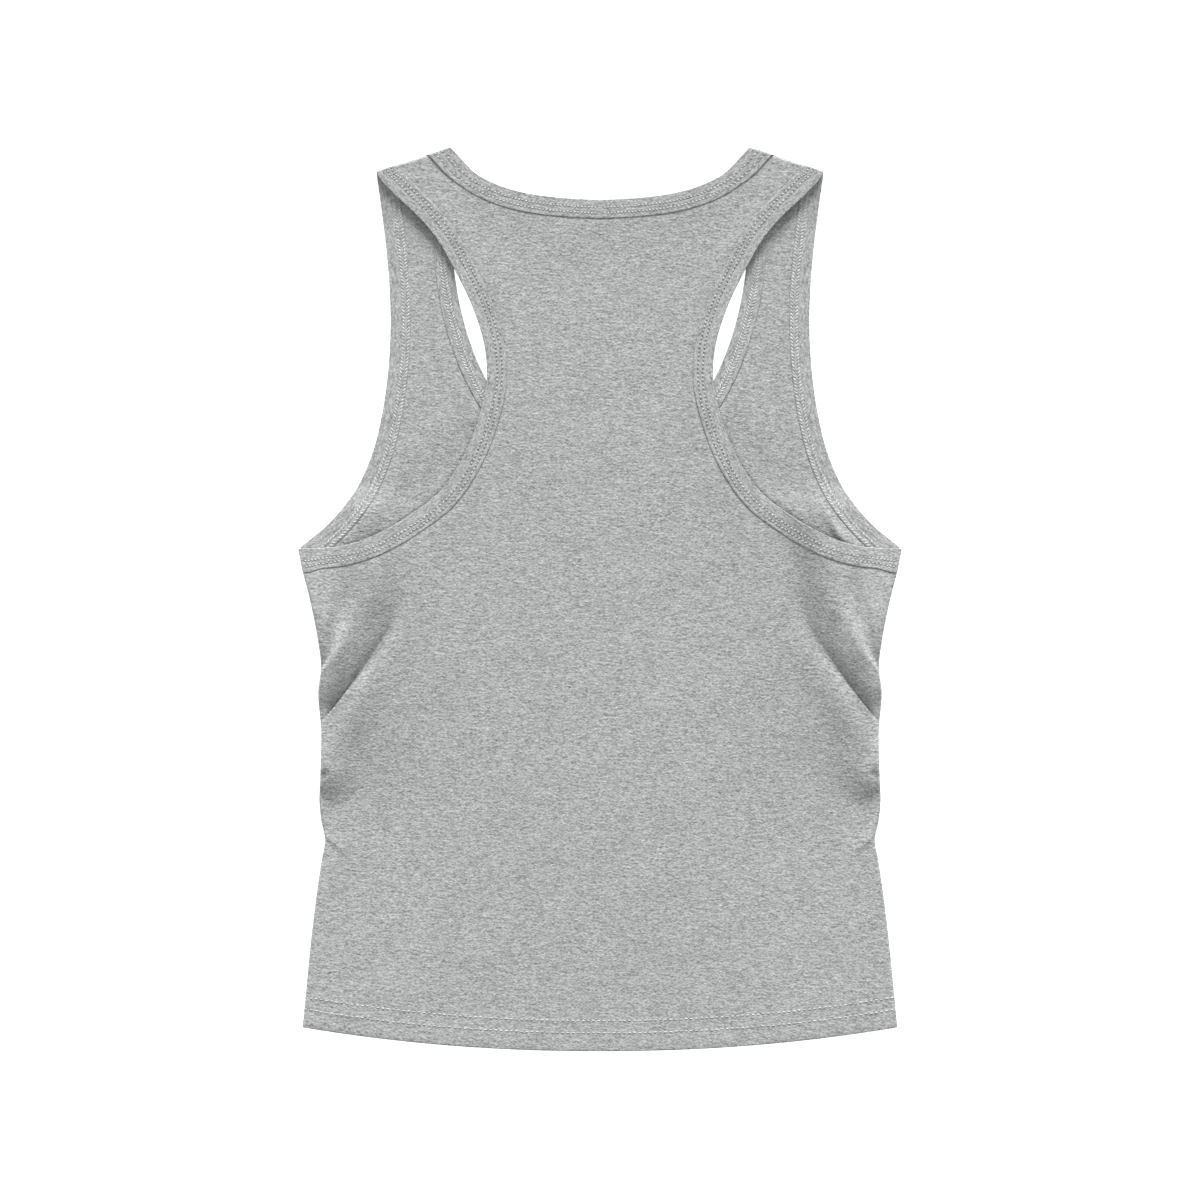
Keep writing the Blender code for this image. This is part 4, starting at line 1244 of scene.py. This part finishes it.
def thread_piece(name, groups):
    """One object from several groups of placed beads."""
    points, tris, shades = zip(*groups)
    first = np.cumsum([0] + [len(p) for p in points[:-1]])
    tris = np.concatenate([t + start for t, start in zip(tris, first)])
    return make_piece(name, np.concatenate(points), tris, extra={"shade": np.concatenate(shades)})


print("triangles in one stitch:", len(bead(1.0, 1.0, 1.0)[1]))

# %% [markdown]
# ## Rows on a binding
#
# A coverstitch shows two rows of short straight stitches outside and a braid of looper thread inside. No
# sewing is perfectly even, so each stitch strays a little from its row and turns a little.

# %% Rows of stitches on a binding
chance = np.random.default_rng(41)
NEEDLE_BEAD, NEEDLE_LIFT = (0.64, 0.92, 0.50), 0.06     # length as a share of the pitch, width and height
NEEDLE_STRAY, NEEDLE_TURN = 0.07, 0.10
BRAID_PITCH = 0.88                                      # as a share of the needle rows' pitch
BRAID_BEAD, BRAID_LIFT, BRAID_STRAY = (2.4, 0.98, 0.36), 0.04, 0.05
BRAID_SHIFT = {"neck": 0.0, "armhole": 1.6}             # the braid lies farther in than the needle rows
BRAID_PULL = {"neck": 0.35, "armhole": 0.0}             # and its two columns are drawn together by a share
BRAID_SLANT = (0.62, 0.75)                              # a strand's direction: into the cloth, and along
AHEAD = 0.3                                             # a stitch's direction is taken over this distance


def on_band(edge, left, reach, runs, outer, lift):
    """Points and upward directions on a binding's leaf, at distances along the edge and into the cloth."""
    layer, kind = edge.split("_")
    points, across, widths, run = stations(edge, STATION_STEP)
    table = np.column_stack([points, across, widths])
    here = np.stack([np.interp(runs, run, column) for column in table.T], axis=-1)
    width = here[:, 4]
    reach = reach * width / WIDTHS[kind][0]
    plan = here[:, :2] + reach[:, None] * unit(here[:, 2:4])
    plan = mirrored(plan) if left else plan
    sign = 1.0 if outer else -1.0
    face = -BOUND_STEP if outer else PANEL_ROOM + BOUND_STEP
    depth = face + sign * (leaf_relief(kind, reach, runs, width) - lift)
    centre = laid(layer, plan, depth)
    return centre, unit(laid(layer, plan, depth - sign) - centre)


def needle_row(edge, left, reach):
    """A row of needle stitches along a binding's outer leaf."""
    pitch = PITCH[edge.split("_")[1]]
    runs = np.arange(0.5 * pitch, run_of(EDGES[edge])[-1] - 0.4 * pitch, pitch)
    wander = reach + chance.normal(0.0, NEEDLE_STRAY, len(runs))
    centre, up = on_band(edge, left, wander, runs, True, NEEDLE_LIFT)
    ahead, _ = on_band(edge, left, wander, runs + AHEAD, True, NEEDLE_LIFT)
    turn = np.cross(up, unit(ahead - centre)) * chance.normal(0.0, NEEDLE_TURN, (len(runs), 1))
    length, width, height = NEEDLE_BEAD
    return placed(bead(length * pitch, width, height), centre, unit(ahead - centre) + turn, up,
                  chance.uniform(0.0, 1.0, len(runs)))


def braid_rows(edge, left):
    """The looper's braid on a binding's inner leaf: two columns of slanted strands that lean together."""
    kind = edge.split("_")[1]
    pitch = BRAID_PITCH * PITCH[kind]
    low, high = (reach + BRAID_SHIFT[kind] for reach in ROW_REACHES[kind])
    middle = 0.5 * (low + high)
    runs = np.arange(0.6 * pitch, run_of(EDGES[edge])[-1] - 0.6 * pitch, pitch)
    groups = []
    for reach, lean in ((low, 1.0), (high, -1.0)):
        drawn = reach + BRAID_PULL[kind] * (middle - reach)
        reaches = drawn + chance.normal(0.0, BRAID_STRAY, len(runs))
        centre, up = on_band(edge, left, reaches, runs, False, BRAID_LIFT)
        leaned, later = reaches + BRAID_SLANT[0] * lean, runs + BRAID_SLANT[1]
        ahead, _ = on_band(edge, left, leaned, later, False, BRAID_LIFT)
        groups.append(placed(bead(*BRAID_BEAD), centre, ahead - centre, up,
                             chance.uniform(0.0, 1.0, len(runs))))
    return groups


# %% [markdown]
# ## Sewing the bindings
#
# Every edge gets two needle rows and its braid. The right armhole's strip also has one short line of
# stitches square across it by the side seam, which holds its ends together.

# %% Sew the bindings
TACK_PITCH, TACK_FROM_SIDE = 1.25, 5.8
TACK_FROM_EDGE, TACK_FROM_SEAM = 1.0, 0.4
TACK_BEAD, TACK_LIFT, TACK_SHADES = (0.9, 0.75, 0.5), 0.08, (0.6, 1.0)


def cross_tack(edge, left, from_end):
    """A line of short stitches square across a binding, at a distance from its end at the underarm."""
    reaches = np.arange(TACK_FROM_EDGE, ARMHOLE_WIDTH - TACK_FROM_SEAM, TACK_PITCH)
    runs = np.full(len(reaches), run_of(EDGES[edge])[-1] - from_end)
    centre, up = on_band(edge, left, reaches, runs, True, TACK_LIFT)
    ahead, _ = on_band(edge, left, reaches + AHEAD, runs, True, TACK_LIFT)
    length, width, height = TACK_BEAD
    return placed(bead(length * TACK_PITCH, width, height), centre, ahead - centre, up,
                  chance.uniform(*TACK_SHADES, len(runs)))


neck_groups, armhole_groups = [], {"left": [], "right": []}
for word, on_left in (("left", True), ("right", False)):
    for kind, groups in (("neck", neck_groups), ("armhole", armhole_groups[word])):
        for edge in (f"back_{kind}", f"front_{kind}"):
            groups += [needle_row(edge, on_left, reach) for reach in ROW_REACHES[kind]]
            groups += braid_rows(edge, on_left)
armhole_groups["right"].append(cross_tack("back_armhole", False, TACK_FROM_SIDE))
neck_stitches = thread_piece("neck_stitches", neck_groups)
armhole_stitches = {word: thread_piece(f"armhole_stitches_{word}", groups)
                    for word, groups in armhole_groups.items()}

# %% [markdown]
# ## Sewing the hems
#
# A hem is turned up and sewn through both layers, so two rows show on each panel's outer face, and the
# turned-up edge ends just above the upper row.

# %% Sew the hems
HEM_ROWS_UP, HEM_PITCH = (10.8, 17.9), 3.0
HEM_FROM_SIDE, HEM_STRAY = 2.0, 0.08
HEM_BEAD, HEM_LIFT = (0.68, 0.85, 0.5), 0.05


def hem_row(layer, up):
    """A row of stitches on a panel's outer face, at a height above the hem's edge."""
    half = HEM_CORNER[0] - HEM_FROM_SIDE
    x = np.arange(-half, half, HEM_PITCH)
    y = hem_y(x) + up + chance.normal(0.0, HEM_STRAY, len(x))
    plan = np.column_stack([x, y])
    ahead_plan = np.column_stack([x + AHEAD, hem_y(x + AHEAD) + y - hem_y(x)])
    depth = np.full(len(x), -HEM_LIFT)
    centre, ahead, above = (laid(layer, plan, depth), laid(layer, ahead_plan, depth),
                            laid(layer, plan, depth - 1.0))
    length, width, height = HEM_BEAD
    return placed(bead(length * HEM_PITCH, width, height), centre, ahead - centre, unit(above - centre),
                  chance.uniform(0.0, 1.0, len(x)))


hem_stitches = thread_piece("hem_stitches", [hem_row(layer, up) for layer in ("back", "front")
                                             for up in HEM_ROWS_UP])

# %% [markdown]
# ## The knitted marl
#
# Marl yarn is spun from light and dark fibres, so each course of the knit is a row of short light and dark
# dashes. Two stretched noises, turned a little either way, give dashes that cross like the legs of a knit
# stitch, and a third, longer one gives streaks along the knit. A node group holds them once, and each
# material that uses it sets its own sizes and colours.

# %% Helpers for nodes
def set_inputs(tree, made, inputs):
    """Sets a node's inputs, each to a value or to a link from another node's output."""
    for key, value in inputs.items():
        if isinstance(value, bpy.types.NodeSocket):
            tree.links.new(value, made.inputs[key])
        else:
            made.inputs[key].default_value = value


def node(tree, kind, inputs=None, **settings):
    """A new node with its settings and its inputs."""
    made = tree.nodes.new(kind)
    for key, value in settings.items():
        setattr(made, key, value)
    set_inputs(tree, made, inputs or {})
    return made


def maths(tree, operation, *values, **settings):
    """The output of a Math node with the given values."""
    return node(tree, "ShaderNodeMath", dict(enumerate(values)), operation=operation, **settings).outputs[0]


def vector_maths(tree, operation, *values):
    """The output of a Vector Math node with the given values."""
    return node(tree, "ShaderNodeVectorMath", dict(enumerate(values)), operation=operation).outputs[0]


def scaled(tree, vector, scale):
    """The output of a Vector Math node that multiplies a vector by a number."""
    return node(tree, "ShaderNodeVectorMath", {0: vector, "Scale": scale}, operation="SCALE").outputs[0]


# %% The marl group
GROUP_INPUTS = (("Place", "Vector"), ("Dash Length", "Float"), ("Dash Width", "Float"), ("Contrast", "Float"),
                ("Dark", "Color"), ("Light", "Color"))
# A noise's turn in degrees, where it is read, and what its place is multiplied by: less makes longer dashes.
FIBRES = ((27.0, 3.7, (1.0, 1.0, 1.0)), (-33.0, 19.3, (1.0, 1.0, 1.0)), (2.0, 31.9, (0.45, 0.9, 1.0)))
FIBRE_MEAN = 0.5 * len(FIBRES)
NOISE = {"Scale": 1.0, "Detail": 1.5, "Roughness": 0.55}


def fibre_noise(tree, place, size, turn, seed, times):
    """Dashes that lie along one direction: noise of the turned place divided by a dash's size."""
    turned = node(tree, "ShaderNodeVectorRotate", {"Vector": place, "Angle": math.radians(turn)},
                  rotation_type="Z_AXIS")
    in_dashes = vector_maths(tree, "DIVIDE", turned.outputs[0], size)
    read_at = vector_maths(tree, "MULTIPLY_ADD", in_dashes, times, (seed, seed * 1.7, seed * 0.3))
    noise = node(tree, "ShaderNodeTexNoise", {"Vector": read_at, **NOISE}, noise_dimensions="3D")
    return noise.outputs["Fac"]


def marl_group():
    """Dashes of fibre: Colour, and Height for a bump.

    Height is 0.5 + contrast · (the three noises' sum - its mean), and Colour mixes Dark and Light by it.
    """
    tree = bpy.data.node_groups.new("marl_fibres", "ShaderNodeTree")
    for name, kind in GROUP_INPUTS:
        tree.interface.new_socket(name, in_out="INPUT", socket_type=f"NodeSocket{kind}")
    for name, kind in (("Colour", "Color"), ("Height", "Float")):
        tree.interface.new_socket(name, in_out="OUTPUT", socket_type=f"NodeSocket{kind}")
    given = node(tree, "NodeGroupInput").outputs
    place = scaled(tree, given["Place"], UV_MM)
    size = node(tree, "ShaderNodeCombineXYZ", {"X": given["Dash Length"], "Y": given["Dash Width"], "Z": 1.0})
    first, second, streaks = (fibre_noise(tree, place, size.outputs[0], *fibre) for fibre in FIBRES)
    total = maths(tree, "ADD", maths(tree, "ADD", first, second), streaks)
    height = maths(tree, "MULTIPLY_ADD", maths(tree, "SUBTRACT", total, FIBRE_MEAN), given["Contrast"], 0.5)
    blend = node(tree, "ShaderNodeMix", {"Factor": height, "A": given["Dark"], "B": given["Light"]},
                 data_type="RGBA", clamp_factor=True)
    node(tree, "NodeGroupOutput", {"Colour": blend.outputs["Result"], "Height": height})
    return tree


MARL = marl_group()
print("nodes in the marl group:", len(MARL.nodes))

# %% [markdown]
# ## The jersey
#
# Panels and bindings are cut from the same jersey, but a binding is stretched as it is sewn on, so its
# dashes are a little longer and narrower. Where a needle has gone through, a small shadow darkens the
# colour, from the value that each point of a binding carries.

# %% The jersey's material
DARK_FIBRE, LIGHT_FIBRE = (0.160, 0.164, 0.1625, 1.0), (0.69, 0.707, 0.70, 1.0)
JERSEY_BUMP = {"Strength": 0.5, "Distance": 0.0005}


def new_material(name):
    """A material with nodes, its tree, and the shader in it."""
    material = bpy.data.materials.new(name)
    material.use_nodes = True
    return material, material.node_tree, material.node_tree.nodes["Principled BSDF"]


def jersey_material(name, contrast, dash, shade_at_holes=0.0):
    """Jersey: the marl's dashes on the piece's own UV, with shade painted in: darker by a share at its needle
    holes.
    """
    material, tree, shader = new_material(name)
    uv = node(tree, "ShaderNodeUVMap", uv_map="cloth")
    marl = node(tree, "ShaderNodeGroup", {
        "Place": uv.outputs["UV"], "Dash Length": dash[0], "Dash Width": dash[1], "Contrast": contrast,
        "Dark": DARK_FIBRE, "Light": LIGHT_FIBRE}, node_tree=MARL)
    # painted shade: the colour is darkened by a share at the needle holes
    hole_shades = node(tree, "ShaderNodeAttribute", attribute_name="needle_hole_shade")
    share = maths(tree, "MULTIPLY_ADD", hole_shades.outputs["Fac"], -shade_at_holes, 1.0, use_clamp=True)
    colour = scaled(tree, marl.outputs["Colour"], share)
    bump = node(tree, "ShaderNodeBump", {"Height": marl.outputs["Height"], **JERSEY_BUMP})
    set_inputs(tree, shader, {"Base Color": colour, "Normal": bump.outputs["Normal"],
                              "Roughness": 0.92, "Specular IOR Level": 0.15})
    return material


panel_jersey = jersey_material("marl_jersey_panels", 0.86, (1.6, 0.96))
band_jersey = jersey_material("marl_jersey_bindings", 0.85, (1.8, 0.88), shade_at_holes=0.55)
for piece in (back, front):
    piece.data.materials.append(panel_jersey)
for piece in (neck_band, *armhole_bands.values()):
    piece.data.materials.append(band_jersey)
print("jersey on", len(armhole_bands) + 3, "pieces")

# %% [markdown]
# ## The sewing thread
#
# The thread is light grey, a little glossier than the cloth, and twisted, so it catches the light differently
# from stitch to stitch. Each bead carries a value between 0 and 1, which picks its grey.

# %% The thread's material
DARK_THREAD, LIGHT_THREAD = (0.44, 0.45, 0.445, 1.0), (0.66, 0.67, 0.665, 1.0)
thread, thread_tree, thread_shader = new_material("sewing_thread")
shade = node(thread_tree, "ShaderNodeAttribute", attribute_name="shade")
greys = node(thread_tree, "ShaderNodeValToRGB", {"Fac": shade.outputs["Fac"]})
for element, grey in zip(greys.color_ramp.elements, (DARK_THREAD, LIGHT_THREAD)):
    element.color = grey
set_inputs(thread_tree, thread_shader, {"Base Color": greys.outputs["Color"], "Roughness": 0.6})
sewing = (neck_stitches, hem_stitches, *armhole_stitches.values())
for piece in sewing:
    piece.data.materials.append(thread)
print("thread on", ", ".join(piece.name for piece in sewing))

# %% [markdown]
# ## Putting the cloth in place of the solids
#
# Everything rides on the one body. Each cloth piece stands for its solid, which is hidden, and the size that
# it was cut to is printed.

PANEL_CUT = (0.356, 0.548)
cloths = ((back, "back_panel", PANEL_CUT, 0.150, ["front_cloth"]),
          (front, "front_panel", PANEL_CUT, 0.142, ["floor"]),
          (neck_band, "neck_binding", (0.026, 0.60), None, ["front_cloth"]),
          (armhole_bands["left"], "armhole_binding_left", (0.027, 0.56), None, ["front_cloth"]),
          (armhole_bands["right"], "armhole_binding_right", (0.027, 0.56), None, ["front_cloth"]))
for piece, solid, flat, area, rests_on in cloths:
    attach(piece, "root")
    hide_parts(solid)
    print(f"{piece.name} stands for {solid}, cut from {flat[0]:.3f} x {flat[1]:.3f} m")
for piece in sewing:
    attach(piece, "root")

# %% [markdown]
# ## The table
#
# A flat garment is laid on a white table that is lit from below, so that no shadow shows beside it. Here the
# table top gives off white light of its own.

# %% The table
TABLE_HALF, TABLE_Z = 1.5, -0.0006      # metres


def light_table():
    """A white table top a little below the cloth: one quad."""
    corners = [(x * TABLE_HALF, y * TABLE_HALF, TABLE_Z) for x, y in ((-1, -1), (1, -1), (1, 1), (-1, 1))]
    mesh = bpy.data.meshes.new("floor")
    mesh.from_pydata(corners, [], [(0, 1, 2, 3)])
    white, tree, shader = new_material("light_table")
    set_inputs(tree, shader, {"Base Color": (0.6, 0.6, 0.6, 1.0), "Roughness": 0.8, "Specular IOR Level": 0.0,
                              "Emission Color": (1.0, 1.0, 1.0, 1.0), "Emission Strength": 1.0})
    mesh.materials.append(white)
    return in_scene("floor", mesh)


floor = light_table()
print(f"the table top is {2 * TABLE_HALF:.0f} m wide, at height {TABLE_Z / MM:.1f} mm")

# %% [markdown]
# ## The light
#
# One very soft light comes in low from the neck's side, so that folds across the garment show, and the white
# surroundings fill the shadows.

# %% The light
KEY_AROUND, KEY_UP, KEY_SOFTNESS = 3.0, 22.0, 30.0      # degrees
KEY_POWER, FILL = 5.10, 0.452
key_data = bpy.data.lights.new("key", "SUN")
key_data.energy = KEY_POWER
key_data.angle = math.radians(KEY_SOFTNESS)
key = in_scene("key", key_data)
key.rotation_euler = (math.radians(-(90.0 - KEY_UP)), 0.0, math.radians(-KEY_AROUND))
world = bpy.data.worlds.new("white_room")
bpy.context.scene.world = world
world.use_nodes = True
set_inputs(world.node_tree, world.node_tree.nodes["Background"],
           {"Color": (1.0, 1.0, 1.0, 1.0), "Strength": FILL})
print(f"key light {KEY_UP:.0f} degrees above the table")

# %% [markdown]
# ## The camera
#
# The camera looks straight down from high up, so the garment shows almost without perspective. Its lens
# follows from the width of cloth that it has to take in.

# %% The camera
CAMERA_HEIGHT, FRAME_WIDTH, CLOTH_HEIGHT = 4.0, 0.7, 0.005      # metres
SENSOR = 36.0
camera_data = bpy.data.cameras.new("camera")
camera_data.sensor_width = SENSOR
camera_data.lens = SENSOR * (CAMERA_HEIGHT - CLOTH_HEIGHT) / FRAME_WIDTH
camera_data.clip_end = 5 * CAMERA_HEIGHT
camera = in_scene("camera", camera_data)
camera.location = (0.0, 0.0, CAMERA_HEIGHT)
bpy.context.scene.camera = camera
bpy.context.scene.view_settings.view_transform = "Standard"
print(f"lens {camera_data.lens:.0f} mm")
